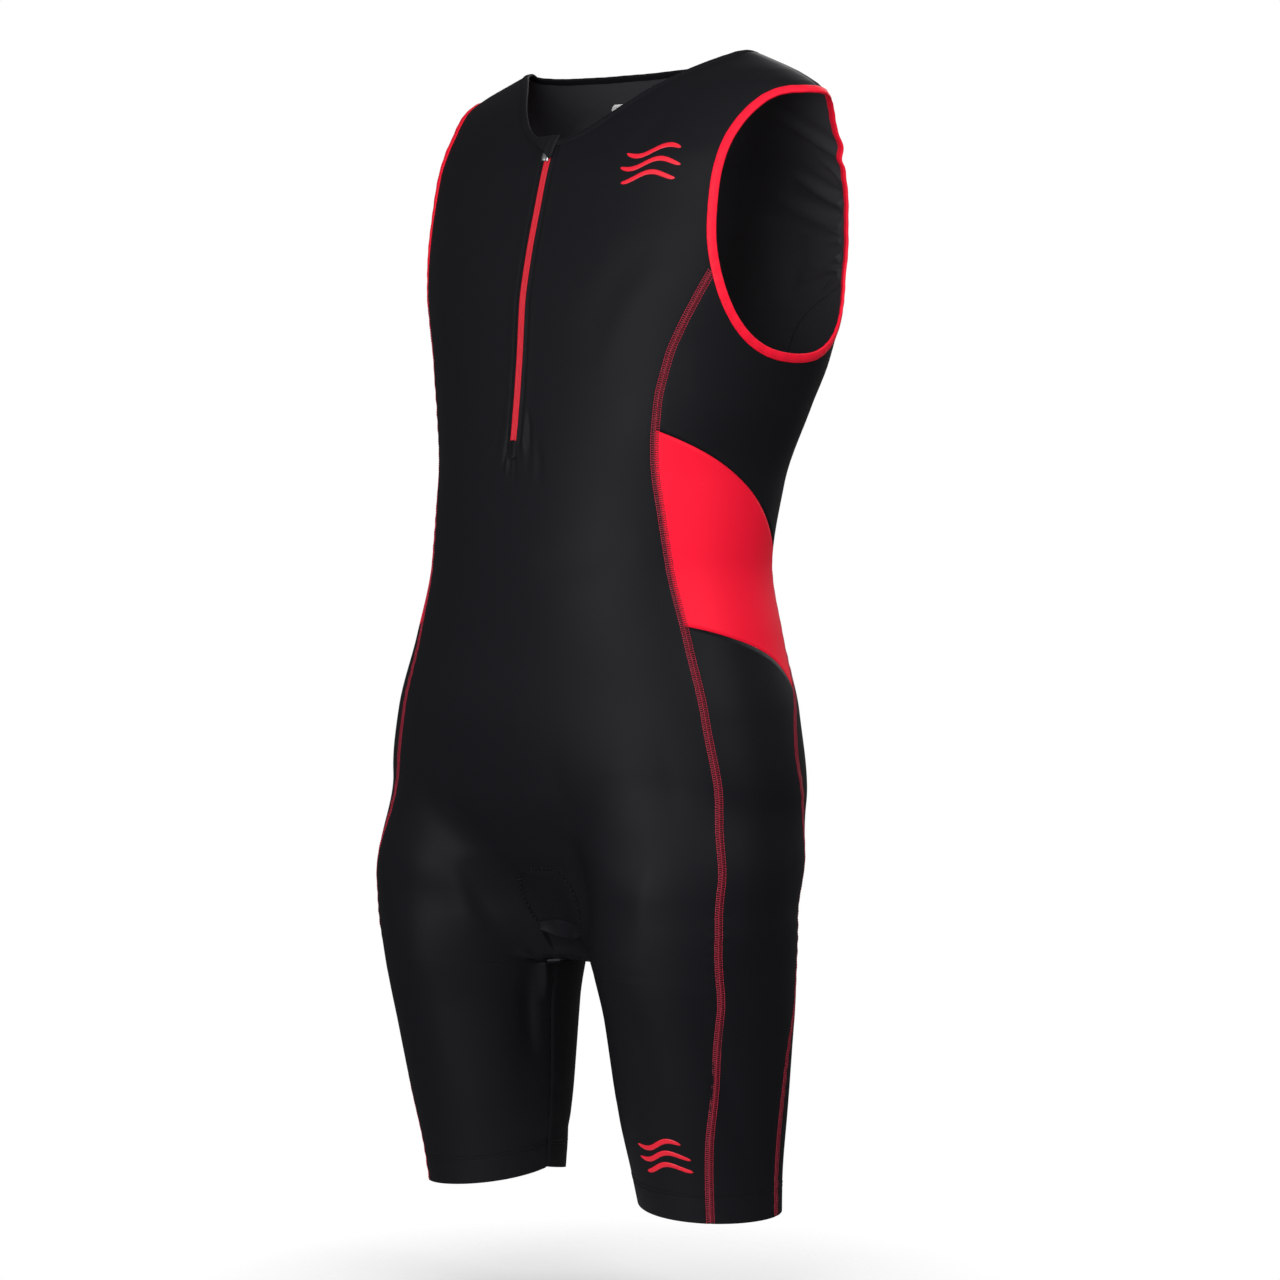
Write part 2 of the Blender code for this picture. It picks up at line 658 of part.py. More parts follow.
def side_grids(side):
    """Grids of the side's three pieces: under the arm, waist, thigh."""
    arm = armhole(np.linspace(FRONT_SEAM_KNOT, BACK_SEAM_KNOT, SIDE_COLUMNS + 1), side)
    lines = [arm, cross_seam(WAIST_TOP, side), cross_seam(WAIST_LOW, side)]
    pieces = []
    for k in range(2):
        left = seam_line(FRONT_SEAM, FRONT_HEIGHTS[k] if k == 0 else
                         np.concatenate([FRONT_HEIGHTS[0][-1:], FRONT_HEIGHTS[1]]), side)
        right = seam_line(BACK_SEAM, BACK_HEIGHTS[k] if k == 0 else
                          np.concatenate([BACK_HEIGHTS[0][-1:], BACK_HEIGHTS[1]]), side)
        pieces.append(coons(lines[k], lines[k + 1], left, right, (UPPER_ROWS, WAIST_ROWS)[k]))
    thigh_left = seam_line(FRONT_SEAM, np.concatenate([FRONT_HEIGHTS[1][-1:], FRONT_HEIGHTS[2]]), side)
    thigh_right = seam_line(BACK_SEAM, np.concatenate([BACK_HEIGHTS[1][-1:], BACK_HEIGHTS[2]]), side)
    way = np.linspace(0, 1, SIDE_COLUMNS + 1)[:, None]
    crotch_row = thigh_left[-1] * (1 - way) + thigh_right[-1] * way
    upper = coons(lines[2], crotch_row, thigh_left, thigh_right, THIGH_ROWS)
    leg = leg_grid(leg_seam(FRONT_SEAM, side), leg_seam(BACK_SEAM, side), SIDE_COLUMNS)
    pieces.append(np.concatenate([upper, leg]))
    for k, piece in enumerate(pieces):
        piece[:, 0, :] = inset(piece[:, 0, :], 1)
        piece[:, -1, :] = inset(piece[:, -1, :], -1)
        if k > 0:
            piece[0] = open_gap(piece[0], -1)
        else:
            piece[0, -1] = piece[0, -1] * 0.97 + piece[1, -1] * 0.03
        if k < 2:
            piece[-1] = open_gap(piece[-1], 1)
    return pieces


BLACK = (0.012, 0.012, 0.014)
BLACK_BACK = (0.010, 0.010, 0.012)
RED = (0.89, 0.022, 0.045)
ZIP_RED = (0.75, 0.045, 0.060)
SILVER = (0.62, 0.62, 0.64)
WHITE = (0.90, 0.90, 0.90)


def as_sheet(grid, side):
    return grid[..., 0], grid[..., 1], side


thick_sheet("front", [as_sheet(front_grid(s), s) for s in (1, -1)], BLACK, 0.42)
thick_sheet("back", [as_sheet(back_grid(s)[:, ::-1], s) for s in (1, -1)], BLACK_BACK, 0.60)
for side, letter in ((1, "L"), (-1, "R")):
    upper, waist, thigh = side_grids(side)
    thick_sheet("side_upper_" + letter, [as_sheet(upper, side)], BLACK, 0.42)
    thick_sheet("side_waist_" + letter, [as_sheet(waist, side)], RED, 0.50)
    thick_sheet("side_thigh_" + letter, [as_sheet(thigh, side)], BLACK, 0.42)


def band(name, points, normals, middle, wide, colour, closed):
    """Flat band past a cloth edge: rounded section swept along the edge's points."""
    count = len(points)
    if closed:
        tangent = np.roll(points, -1, axis=0) - np.roll(points, 1, axis=0)
    else:
        tangent = np.gradient(points, axis=0)
    tangent /= np.linalg.norm(tangent, axis=1, keepdims=True)
    across_band = np.cross(normals, tangent)
    across_band /= np.linalg.norm(across_band, axis=1, keepdims=True)
    if (np.sum(across_band * (middle - points), axis=1)).mean() < 0:
        across_band = -across_band
    low = -WALL - BINDING_PROUD
    high = BINDING_PROUD
    bevel = 0.0006
    first = BINDING_GAP
    last = BINDING_GAP + wide
    section = [(first, low + bevel), (first + bevel, low), (last - bevel, low), (last, low + bevel),
               (last, high - bevel), (last - bevel, high), (first + bevel, high), (first, high - bevel)]
    verts = []
    for p, b, n in zip(points, across_band, normals):
        verts.extend(p + b * u + n * v for u, v in section)
    m = len(section)
    faces = []
    for i in range(count if closed else count - 1):
        a = i * m
        c = ((i + 1) % count) * m
        for k in range(m):
            faces.append([a + k, a + (k + 1) % m, c + (k + 1) % m, c + k])
    if not closed:
        faces.append(list(range(m)))
        faces.append([(count - 1) * m + k for k in reversed(range(m))])
    return mesh_object(name, verts, faces, colour, 0.5)


def armhole_path(side):
    """Edge points of the armhole: down the front, under the arm, up the back, over the shoulder."""
    front = np.concatenate([np.linspace(0, 6, 9), [7.0, 8.0, 9.0]])
    low = np.linspace(FRONT_SEAM_KNOT, BACK_SEAM_KNOT, SIDE_COLUMNS + 1)
    back = np.concatenate([[22.0, 23.0, 24.0], np.linspace(25, 30, 9)[:-1]])
    path = armhole(np.concatenate([front, low, back]), side)
    return skin(path[:, 0], path[:, 1], side)


for side, letter in ((1, "L"), (-1, "R")):
    p, n = armhole_path(side)
    band("armhole_binding_" + letter, p, n, p.mean(0), BINDING_WIDE, RED, True)

neck = np.concatenate([NECK_FRONT_EDGE[::-1], NECK_BACK_EDGE[1:]])
p, n = skin(neck[:, 0], neck[:, 1], 1)
p = np.concatenate([p, (p * (-1, 1, 1))[-2::-1]])
n = np.concatenate([n, (n * (-1, 1, 1))[-2::-1]])
band("neck_binding", p, n, p.mean(0), NECK_BINDING_WIDE, BLACK, False)


def near_middle(x, z):
    """Grid point near the front middle, x given in metres along the ring."""
    return x / ring_length(z)


def front_plate(name, outline, colour, roughness, low, high, metallic=0.0):
    """Plate over the front middle: rows of (height, left x, right x), walls from low to high."""
    points = []
    for z, x0, x1 in outline:
        for x in np.linspace(x0, x1, 3):
            p, n = skin(near_middle(abs(x), z), z, 1 if x >= 0 else -1)
            points.append((p, n))
    rows = len(outline)
    verts = [p + n * high for p, n in points] + [p + n * low for p, n in points]
    count = len(points)
    faces = []
    for i in range(rows - 1):
        for j in range(2):
            a = i * 3 + j
            quad = [a, a + 1, a + 4, a + 3]
            faces.append(quad)
            faces.append([v + count for v in reversed(quad)])
    rim = list(range(3)) + [i * 3 + 2 for i in range(1, rows)]
    rim += [(rows - 1) * 3 + 1, (rows - 1) * 3] + [i * 3 for i in range(rows - 2, 0, -1)]
    for k in range(len(rim)):
        a = rim[k - 1]
        b = rim[k]
        faces.append([b, a, a + count, b + count])
    return mesh_object(name, verts, faces, colour, roughness, metallic)


chain_z = [z for z in np.concatenate([[ZIP_TOP], armhole([7.0, 8.0, 9.0], 1)[:, 1],
                                      FRONT_HEIGHTS[0][:-1], [ZIP_END + 0.0008]]) if z <= ZIP_TOP]
front_plate("zip_chain", [(z, -ZIP_HALF, ZIP_HALF) for z in chain_z], ZIP_RED, 0.5, -WALL, -0.0001)
front_plate("zip_stop", [(-0.3085, -0.0036, 0.0036), (-0.3150, -0.0036, 0.0036), (-0.3210, -0.0030, 0.0030)],
            BLACK, 0.6, 0.0004, 0.0014)
front_plate("zip_slider", [(-0.0800, -0.0062, 0.0010), (-0.0835, -0.0068, 0.0012), (-0.0870, -0.0058, 0.0008)],
            SILVER, 0.3, 0.0004, 0.0016, 1.0)
front_plate("zip_garage", [(-0.0690, -0.0125, 0.0120), (-0.0730, -0.0115, 0.0095),
                           (-0.0790, -0.0065, 0.0060), (-0.0860, 0.0002, 0.0026)],
            BLACK, 0.5, 0.0019, 0.0029)


def label_grid():
    """Small blank label inside the back, below the neckline, to the wearer's right of the middle."""
    z = np.linspace(-0.0235, -0.0580, 5)[:, None]
    x = np.linspace(0.030, 0.068, 5)[None, :]
    return 1 - x / ring_length(z), z + 0 * x


share, z = label_grid()
thick_sheet("back_label", [(share[:, ::-1], z, -1)], WHITE, 0.6, 0.0008, -WALL - 0.0012)
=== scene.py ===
"""Looks of the triathlon suit: cloth panels with their folds, bindings, half zip, seams and trims.

Laid out as a Blender add-on: one operator makes each piece or group of like pieces, one the
stage. Metres, +Z up, the front faces -Y, the wearer's left is +X. Positions on the worn form
are (share, height): share runs along the half section from the front middle or inseam (0)
round the side to the back one (1).
"""
import math

import bpy
import numpy as np
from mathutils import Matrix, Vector


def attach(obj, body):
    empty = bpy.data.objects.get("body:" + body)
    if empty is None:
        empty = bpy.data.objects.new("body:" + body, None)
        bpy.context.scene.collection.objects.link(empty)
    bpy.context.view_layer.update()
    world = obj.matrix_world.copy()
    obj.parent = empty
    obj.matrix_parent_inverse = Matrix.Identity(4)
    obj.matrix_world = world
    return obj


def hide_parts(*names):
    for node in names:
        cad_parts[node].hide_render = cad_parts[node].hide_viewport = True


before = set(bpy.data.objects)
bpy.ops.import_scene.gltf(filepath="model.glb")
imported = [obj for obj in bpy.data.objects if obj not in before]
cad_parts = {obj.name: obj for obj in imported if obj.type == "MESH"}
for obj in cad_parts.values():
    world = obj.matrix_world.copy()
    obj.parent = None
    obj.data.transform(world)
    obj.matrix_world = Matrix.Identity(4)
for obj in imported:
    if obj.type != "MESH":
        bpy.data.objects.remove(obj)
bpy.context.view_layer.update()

bl_info = {
    "name": "Triathlon suit",
    "version": (1, 0, 0),
    "blender": (4, 5, 0),
    "location": "3D View > Sidebar > Suit",
    "description": "Builds the looks of a sleeveless triathlon suit around its solid model",
    "category": "Object",
}

# thickness of the cloth, and the gap that parts two cut pieces along a seam
WALL = 0.0010
SEAM_GAP = 0.00008
# half width of the zip's slit and the heights of its ends
ZIP_SLIT_HALF = 0.0032
ZIP_TOP = -0.0800
ZIP_END = -0.3070
# height of the hem on the outside of the leg, and how much higher it is at the inseam
HEM_HEIGHT = -0.9110
HEM_RISE = 0.0160
# share of the hem's lowest point
HEM_LOWEST = 0.47

TORSO = np.array([
    # height, half_width, front, back, middle, squareness
    (0.004, 0.106, 0.030, 0.054, 0.042, 2.10),
    (0.000, 0.119, 0.018, 0.060, 0.042, 2.10),
    (-0.008, 0.138, 0.005, 0.070, 0.042, 2.10),
    (-0.020, 0.164, -0.012, 0.082, 0.042, 2.10),
    (-0.034, 0.184, -0.029, 0.094, 0.042, 2.15),
    (-0.050, 0.192, -0.045, 0.107, 0.042, 2.20),
    (-0.068, 0.193, -0.059, 0.121, 0.042, 2.30),
    (-0.090, 0.191, -0.070, 0.137, 0.042, 2.40),
    (-0.120, 0.189, -0.079, 0.150, 0.042, 2.40),
    (-0.160, 0.185, -0.090, 0.156, 0.042, 2.40),
    (-0.200, 0.178, -0.098, 0.156, 0.041, 2.40),
    (-0.240, 0.169, -0.101, 0.152, 0.037, 2.35),
    (-0.280, 0.159, -0.105, 0.138, 0.027, 2.30),
    (-0.340, 0.146, -0.113, 0.119, 0.010, 2.25),
    (-0.400, 0.145, -0.120, 0.107, -0.004, 2.20),
    (-0.460, 0.159, -0.124, 0.110, -0.012, 2.20),
    (-0.520, 0.177, -0.130, 0.118, -0.018, 2.20),
    (-0.580, 0.186, -0.121, 0.118, -0.022, 2.25),
    (-0.630, 0.178, -0.098, 0.108, -0.022, 2.25),
    (-0.670, 0.152, -0.068, 0.088, -0.022, 2.20),
    (-0.700, 0.118, -0.050, 0.056, -0.022, 2.10),
    (-0.716, 0.080, -0.038, 0.022, -0.022, 2.00),
    (-0.724, 0.040, -0.029, -0.006, -0.022, 2.00),
])
LEG = np.array([
    # height, centre_x, centre_y, half_width, half_depth, hollow of the inner front
    (-0.560, 0.100, -0.026, 0.080, 0.102, 0.10),
    (-0.620, 0.104, -0.027, 0.083, 0.100, 0.22),
    (-0.680, 0.106, -0.026, 0.083, 0.094, 0.26),
    (-0.720, 0.109, -0.023, 0.077, 0.090, 0.26),
    (-0.760, 0.112, -0.019, 0.071, 0.083, 0.18),
    (-0.830, 0.112, -0.013, 0.065, 0.070, 0.06),
    (-0.880, 0.113, -0.008, 0.058, 0.061, 0.00),
    (-0.930, 0.115, -0.003, 0.053, 0.055, 0.00),
])
TORSO_TO_LEGS = 0.030
LEG_TO_LEG = 0.020

ARMHOLE = np.array([
    # share, height, and on the wearer's right: share less, height more
    # edge of the cut pieces, from the shoulder over the front, under the arm, up the back
    (0.5140, -0.0330, 0.000, 0.0150),
    (0.4750, -0.0335, 0.010, 0.0130),
    (0.4350, -0.0350, 0.022, 0.0095),
    (0.4000, -0.0400, 0.031, 0.0050),
    (0.3700, -0.0485, 0.035, 0.0020),
    (0.3450, -0.0610, 0.032, 0.0000),
    (0.3220, -0.0800, 0.022, 0.0000),
    (0.3080, -0.1050, 0.010, 0.0000),
    (0.3050, -0.1300, 0.000, 0.0000),
    (0.3090, -0.1550, 0.000, 0.0000),
    (0.3220, -0.1780, 0.000, 0.0000),
    (0.3440, -0.2020, 0.000, 0.0000),
    (0.3700, -0.2200, 0.000, 0.0000),
    (0.4030, -0.2335, 0.000, 0.0000),
    (0.4430, -0.2420, 0.000, 0.0000),
    (0.4900, -0.2455, 0.000, 0.0000),
    (0.5400, -0.2450, 0.000, 0.0000),
    (0.5830, -0.2400, 0.000, 0.0000),
    (0.6200, -0.2300, 0.000, 0.0000),
    (0.6520, -0.2140, 0.000, 0.0000),
    (0.6740, -0.1960, 0.000, 0.0000),
    (0.6860, -0.1780, 0.000, 0.0000),
    (0.6860, -0.1500, 0.000, 0.0000),
    (0.6780, -0.1250, 0.000, 0.0000),
    (0.6660, -0.1000, 0.000, 0.0000),
    (0.6500, -0.0780, 0.000, 0.0000),
    (0.6300, -0.0600, 0.000, 0.0020),
    (0.6040, -0.0465, 0.000, 0.0055),
    (0.5760, -0.0385, 0.000, 0.0095),
    (0.5470, -0.0345, 0.000, 0.0130),
])
FRONT_SEAM_KNOT = 10
BACK_SEAM_KNOT = 21

FRONT_SEAM = np.array([
    # height, share, shift on the wearer's right
    (-0.178, 0.322, 0.000),
    (-0.200, 0.303, 0.000),
    (-0.220, 0.287, -0.008),
    (-0.245, 0.273, -0.028),
    (-0.270, 0.270, -0.044),
    (-0.300, 0.277, -0.044),
    (-0.335, 0.295, -0.010),
    (-0.370, 0.319, 0.038),
    (-0.400, 0.337, 0.060),
    (-0.450, 0.355, 0.082),
    (-0.500, 0.366, 0.098),
    (-0.550, 0.373, 0.100),
    (-0.600, 0.381, 0.088),
    (-0.650, 0.408, 0.066),
    (-0.700, 0.425, 0.035),
    (-0.750, 0.401, 0.012),
    (-0.800, 0.390, 0.000),
    (-0.850, 0.372, 0.000),
    (-0.915, 0.360, 0.000),
])
BACK_SEAM = np.array([
    # height, share, shift on the wearer's right
    (-0.178, 0.686, 0.000),
    (-0.185, 0.737, 0.000),
    (-0.192, 0.782, 0.000),
    (-0.202, 0.822, 0.000),
    (-0.216, 0.845, 0.000),
    (-0.235, 0.853, 0.000),
    (-0.265, 0.843, 0.000),
    (-0.305, 0.808, 0.004),
    (-0.352, 0.750, 0.015),
    (-0.400, 0.698, 0.030),
    (-0.450, 0.670, 0.045),
    (-0.502, 0.617, 0.045),
    (-0.530, 0.582, 0.040),
    (-0.555, 0.568, 0.035),
    (-0.585, 0.585, 0.031),
    (-0.625, 0.630, 0.025),
    (-0.665, 0.657, 0.019),
    (-0.705, 0.648, 0.010),
    (-0.750, 0.597, 0.000),
    (-0.800, 0.560, 0.000),
    (-0.850, 0.545, 0.000),
    (-0.915, 0.545, 0.000),
])
WAIST_TOP = np.array([
    # way across the side from front seam to back seam, height
    (0.00, -0.300),
    (0.16, -0.311),
    (0.30, -0.322),
    (0.43, -0.334),
    (0.54, -0.346),
    (0.64, -0.359),
    (0.73, -0.372),
    (0.82, -0.384),
    (0.91, -0.394),
    (1.00, -0.401),
])
WAIST_LOW = np.array([
    (0.00, -0.450),
    (0.18, -0.4545),
    (0.37, -0.4605),
    (0.55, -0.467),
    (0.73, -0.476),
    (0.87, -0.487),
    (1.00, -0.502),
])
NECKLINE_FRONT = np.array([
    # height, half_opening
    (-0.0745, 0.0000),
    (-0.0735, 0.0120),
    (-0.0690, 0.0250),
    (-0.0600, 0.0395),
    (-0.0480, 0.0530),
    (-0.0340, 0.0680),
    (-0.0200, 0.0850),
    (-0.0080, 0.1045),
    (-0.0030, 0.1140),
    (0.0000, 0.1190),
])
NECKLINE_BACK_DROP = 0.0080


def follow(table, z):
    """Smooth, overshoot-free reading of a table's columns at the heights z."""
    order = np.argsort(table[:, 0])
    t = table[order, 0]
    v = table[order, 1:]
    h = np.diff(t)[:, None]
    d = np.diff(v, axis=0) / h
    m = np.zeros_like(v)
    same = d[:-1] * d[1:] > 0
    product = np.where(same, d[:-1] * d[1:], 1.0)
    m[1:-1] = np.where(same, 2.0 * product / np.where(same, d[:-1] + d[1:], 1.0), 0.0)
    m[0] = d[0]
    m[-1] = d[-1]
    z = np.asarray(z, float)
    i = np.clip(np.searchsorted(t, z) - 1, 0, len(t) - 2)
    s = np.clip((z - t[i]) / h[i, 0], 0.0, 1.0)[..., None]
    out = ((2 * s**3 - 3 * s**2 + 1) * v[i] + (s**3 - 2 * s**2 + s) * h[i] * m[i]
           + (3 * s**2 - 2 * s**3) * v[i + 1] + (s**3 - s**2) * h[i] * m[i + 1])
    return np.moveaxis(out, -1, 0)


def blend(p, q, k):
    """Soft minimum of two distances over the width k."""
    h = np.clip(0.5 + 0.5 * (q - p) / k, 0.0, 1.0)
    return q * (1 - h) + p * h - k * h * (1 - h)


# depth over which the torso's scale passes from front to back
SCALE_EASE = 0.06
# height where the torso ends, and how fast its value grows below
TORSO_END = -0.716
TORSO_FALL = 3.0
# height above which the legs fade out of the form, and over what
LEG_FADE_FROM = -0.66
LEG_FADE = 0.10


def field(x, y, z):
    """Distance-like value of the worn form: a superellipse torso softly joined to two legs.

    A leg's section is an ellipse, narrowed on its inner front with the square of the depth.
    """
    x, y, z = np.broadcast_arrays(x, y, z)
    half, front, back, mid, square = follow(TORSO, z)
    reach = np.where(y < mid, mid - front, back - mid)
    ring = (np.abs(x) / half) ** square + (np.abs(y - mid) / reach) ** square
    # the scale that turns ratios into metres passes from the front depth to the back one evenly
    behind = np.clip((y - mid) / SCALE_EASE + 0.5, 0, 1)
    scale = np.minimum(half, (mid - front) * (1 - behind) + (back - mid) * behind)
    torso = (np.maximum(ring, 1e-12) ** (1 / square) - 1) * scale
    torso = torso + np.maximum(TORSO_END - z, 0.0) * TORSO_FALL
    cx, cy, wide, deep, hollow = follow(LEG, z)
    hollow = hollow * np.minimum(y - cy, 0) ** 2 / deep
    legs = []
    for side in (-1, 1):
        reach = np.where(side * x < cx, wide - hollow, wide)
        r = np.sqrt(((x - side * cx) / reach) ** 2 + ((y - cy) / deep) ** 2)
        legs.append((r - 1) * np.minimum(wide, deep))
    both = blend(legs[0], legs[1], LEG_TO_LEG)
    up = np.clip((z - LEG_FADE_FROM) / LEG_FADE, 0.0, None)
    return blend(torso, both + 0.05 * up * up, TORSO_TO_LEGS)


def outward(p):
    """Unit outward normals of the form at the points p."""
    step = 2e-4
    parts = []
    for axis in np.eye(3) * step:
        a = p + axis
        b = p - axis
        parts.append(field(a[..., 0], a[..., 1], a[..., 2]) - field(b[..., 0], b[..., 1], b[..., 2]))
    g = np.stack(parts, -1)
    return g / np.maximum(np.linalg.norm(g, axis=-1, keepdims=True), 1e-12)


def crotch_point():
    """Height and depth of the lowest cloth between the legs, on the middle plane."""
    y = np.linspace(-0.08, 0.05, 131)
    low = -0.80
    high = -0.66
    for _ in range(30):
        z = (low + high) / 2
        if (field(0 * y, y, z) < 0).any():
            high = z
        else:
            low = z
    return high, float(follow(LEG, high)[1])


CROTCH_Z, CROTCH_Y = crotch_point()


def march(inside, reach, steps):
    """First distance along each ray where the form ends, by stepping and then halving."""
    first = np.full(reach.shape, steps)
    hit = np.zeros(reach.shape, bool)
    for k in range(1, steps + 1):
        new = ~inside(reach * k / steps) & ~hit
        first[new] = k
        hit |= new
    low = reach * (first - 1) / steps
    high = reach * first / steps
    for _ in range(26):
        half = (low + high) / 2
        keep = inside(half)
        low = np.where(keep, half, low)
        high = np.where(keep, high, half)
    return high, hit


def half_sections(heights, columns=161, rays=321):
    """Half sections of the wearer's left, evenly spaced along their length."""
    z = np.asarray(heights, float)[:, None]
    half, _, _, mid, _ = follow(TORSO, z)
    leg_x, leg_y = follow(LEG, z)[:2]
    # the rays start in the leg's middle and, from 0.16 above that height, in the half torso's
    up = np.clip((z + 0.70) / 0.16, 0, 1)
    up = up * up * (3 - 2 * up)
    cx = leg_x * (1 - up) + up * 0.5 * half
    cy = leg_y * (1 - up) + up * mid
    angle = np.linspace(0, 2 * math.pi, rays)[None, :]
    dx = -np.cos(angle)
    dy = -np.sin(angle)
    reach = np.minimum(0.26, np.where(dx < -1e-9, cx / np.maximum(-dx, 1e-9), 9.0))
    r, hit = march(lambda d: field(cx + d * dx, cy + d * dy, z) < 0, reach, 44)
    x = cx + r * dx
    y = cy + r * dy
    # on the middle plane they start at the crotch's depth and pass over to the torso's
    up = np.clip((z - CROTCH_Z) / 0.05, 0, 1)
    y0 = CROTCH_Y * (1 - up) + cy * up
    way = np.array([[-1.0, 1.0]])
    ends, _ = march(lambda d: field(0 * d, y0 + way * d, z) < 0, np.full((len(z), 2), 0.25), 400)
    ends = y0 + way * ends
    out = np.zeros((len(z), columns, 2))
    for k in range(len(z)):
        if z[k, 0] > CROTCH_Z:
            px = np.concatenate([[0], x[k, hit[k]], [0]])
            py = np.concatenate([[ends[k, 0]], y[k, hit[k]], [ends[k, 1]]])
        else:
            px = x[k]
            py = y[k]
        s = np.concatenate([[0], np.cumsum(np.hypot(np.diff(px), np.diff(py)))])
        t = np.linspace(0, s[-1], columns)
        out[k, :, 0] = np.interp(t, s, px)
        out[k, :, 1] = np.interp(t, s, py)
    return out


# heights of the stored rings: crowded toward the crotch, where they change fastest
NEAR = CROTCH_Z + 1e-6 + 0.10 * np.linspace(0, 1, 46) ** 2.2
ABOVE = np.concatenate([NEAR, np.linspace(NEAR[-1], 0.003, 120)[1:]])
BELOW = np.concatenate([CROTCH_Z - 1e-6 - 0.05 * np.linspace(0, 1, 24) ** 2,
                        np.linspace(CROTCH_Z - 0.05, -0.93, 40)[1:]])[::-1]
ABOVE_RINGS = half_sections(ABOVE)
BELOW_RINGS = half_sections(BELOW)


def skin(share, z):
    """Points of the stored rings at (share, height) on the wearer's left."""
    share, z = np.broadcast_arrays(np.asarray(share, float), np.asarray(z, float))
    xy = np.zeros(share.shape + (2,))
    for heights, rings, use in ((ABOVE, ABOVE_RINGS, z > CROTCH_Z), (BELOW, BELOW_RINGS, z <= CROTCH_Z)):
        i = np.clip(np.searchsorted(heights, z) - 1, 0, len(heights) - 2)
        s = np.clip((z - heights[i]) / (heights[i + 1] - heights[i]), 0, 1)[..., None]
        q = np.clip(share, 0, 1) * (rings.shape[1] - 1)
        j = np.clip(q.astype(int), 0, rings.shape[1] - 2)
        t = (q - j)[..., None]
        low = rings[i, j] * (1 - t) + rings[i, j + 1] * t
        high = rings[i + 1, j] * (1 - t) + rings[i + 1, j + 1] * t
        xy = np.where(use[..., None], low * (1 - s) + high * s, xy)
    return np.concatenate([xy, z[..., None]], -1)


def lengths(rings):
    """Length of each half section."""
    return np.hypot(np.diff(rings[..., 0], axis=1), np.diff(rings[..., 1], axis=1)).sum(1)


ABOVE_LENGTHS = lengths(ABOVE_RINGS)
BELOW_LENGTHS = lengths(BELOW_RINGS)


def ring_length(z):
    """Length of the half section at height z."""
    z = np.asarray(z, float)
    above = np.interp(z, ABOVE, ABOVE_LENGTHS)
    below = np.interp(z, BELOW, BELOW_LENGTHS)
    return np.where(z > CROTCH_Z, above, below)


def side_shares(rings):
    """Share of each ring's outer point that is level with the crotch."""
    steps = np.linspace(0, 1, rings.shape[1])
    return np.array([np.interp(CROTCH_Y, r[r[:, 0] > 0.10, 1], steps[r[:, 0] > 0.10]) for r in rings])


# heights between which a lengthwise seam goes past the crotch
PAST_TOP = CROTCH_Z + 0.035
PAST_LOW = CROTCH_Z - 0.025
NEAR_ABOVE = side_shares(ABOVE_RINGS[:len(NEAR)])
NEAR_BELOW = side_shares(BELOW_RINGS[-24:])


def side_share(z):
    """Share of the outer point level with the crotch, for heights within 0.05 of the crotch."""
    z = np.asarray(z, float)
    return np.where(z > CROTCH_Z, np.interp(z, NEAR, NEAR_ABOVE), np.interp(z, BELOW[-24:], NEAR_BELOW))


def widest(z):
    """Share of the widest point of the ring at height z: the ridge of the shoulder."""
    mid = follow(TORSO, ABOVE)[3]
    steps = np.linspace(0, 1, ABOVE_RINGS.shape[1])
    share = [np.interp(m, ring[:, 1], steps) for m, ring in zip(mid, ABOVE_RINGS)]
    return np.interp(z, ABOVE, share)


def share_at_width(x, z):
    """Share of the front point of the ring at height z that lies x from the middle plane."""
    out = []
    for xk, zk in zip(np.atleast_1d(x), np.atleast_1d(z)):
        u = np.linspace(0, float(widest(zk)), 400)
        p = skin(u, np.full(400, zk))
        out.append(np.interp(xk, np.maximum.accumulate(p[:, 0]), u))
    return np.array(out)


def loop_at(table, t):
    """Closed Catmull-Rom curve through the table's rows, at the row numbers t."""
    count = len(table)
    t = np.asarray(t, float)
    i = np.floor(t).astype(int)
    s = (t - i)[..., None]
    a, b, c, d = (table[(i + k) % count] for k in (-1, 0, 1, 2))
    return 0.5 * (2 * b + (c - a) * s + (2 * a - 5 * b + 4 * c - d) * s**2
                  + (3 * b - a - 3 * c + d) * s**3)


def armhole(t, side):
    """Points (share, height) of the armhole's edge at the row numbers t."""
    share, height, less, more = np.moveaxis(loop_at(ARMHOLE, t), -1, 0)
    if side < 0:
        share = share - less
        height = height + more
    return np.stack([share, height], -1)


def plain_share(table, z, side):
    """Share of a lengthwise seam at height z as its table has it, with the twist of the right side."""
    share, shift = follow(table, z)
    return share - (shift if side < 0 else 0.0)


def seam_share(table, z, side):
    """Share of a lengthwise seam at height z.

    Past the crotch, where the rings change length at once, the seam keeps its distance from the
    leg's outer side, eased from the one above to the one below.
    """
    z = np.asarray(z, float)
    top, low = ((plain_share(table, h, side) - side_share(h)) * ring_length(h)
                for h in (PAST_TOP, PAST_LOW))
    way = np.clip((PAST_TOP - z) / (PAST_TOP - PAST_LOW), 0, 1)
    way = way * way * (3 - 2 * way)
    past = side_share(z) + (top + (low - top) * way) / ring_length(z)
    return np.where((z > PAST_LOW) & (z < PAST_TOP), past, plain_share(table, z, side))


def hem_height(share):
    """Height of the hem, which rises from its lowest point toward the inseam on both sides."""
    away = np.where(share < HEM_LOWEST, (HEM_LOWEST - share) / HEM_LOWEST,
                    (share - HEM_LOWEST) / (1 - HEM_LOWEST))
    return HEM_HEIGHT + HEM_RISE * np.abs(away) ** 2.2


FRONT = 0
BACK = 1
BOTH = 0
LEFT = 1
RIGHT = -1

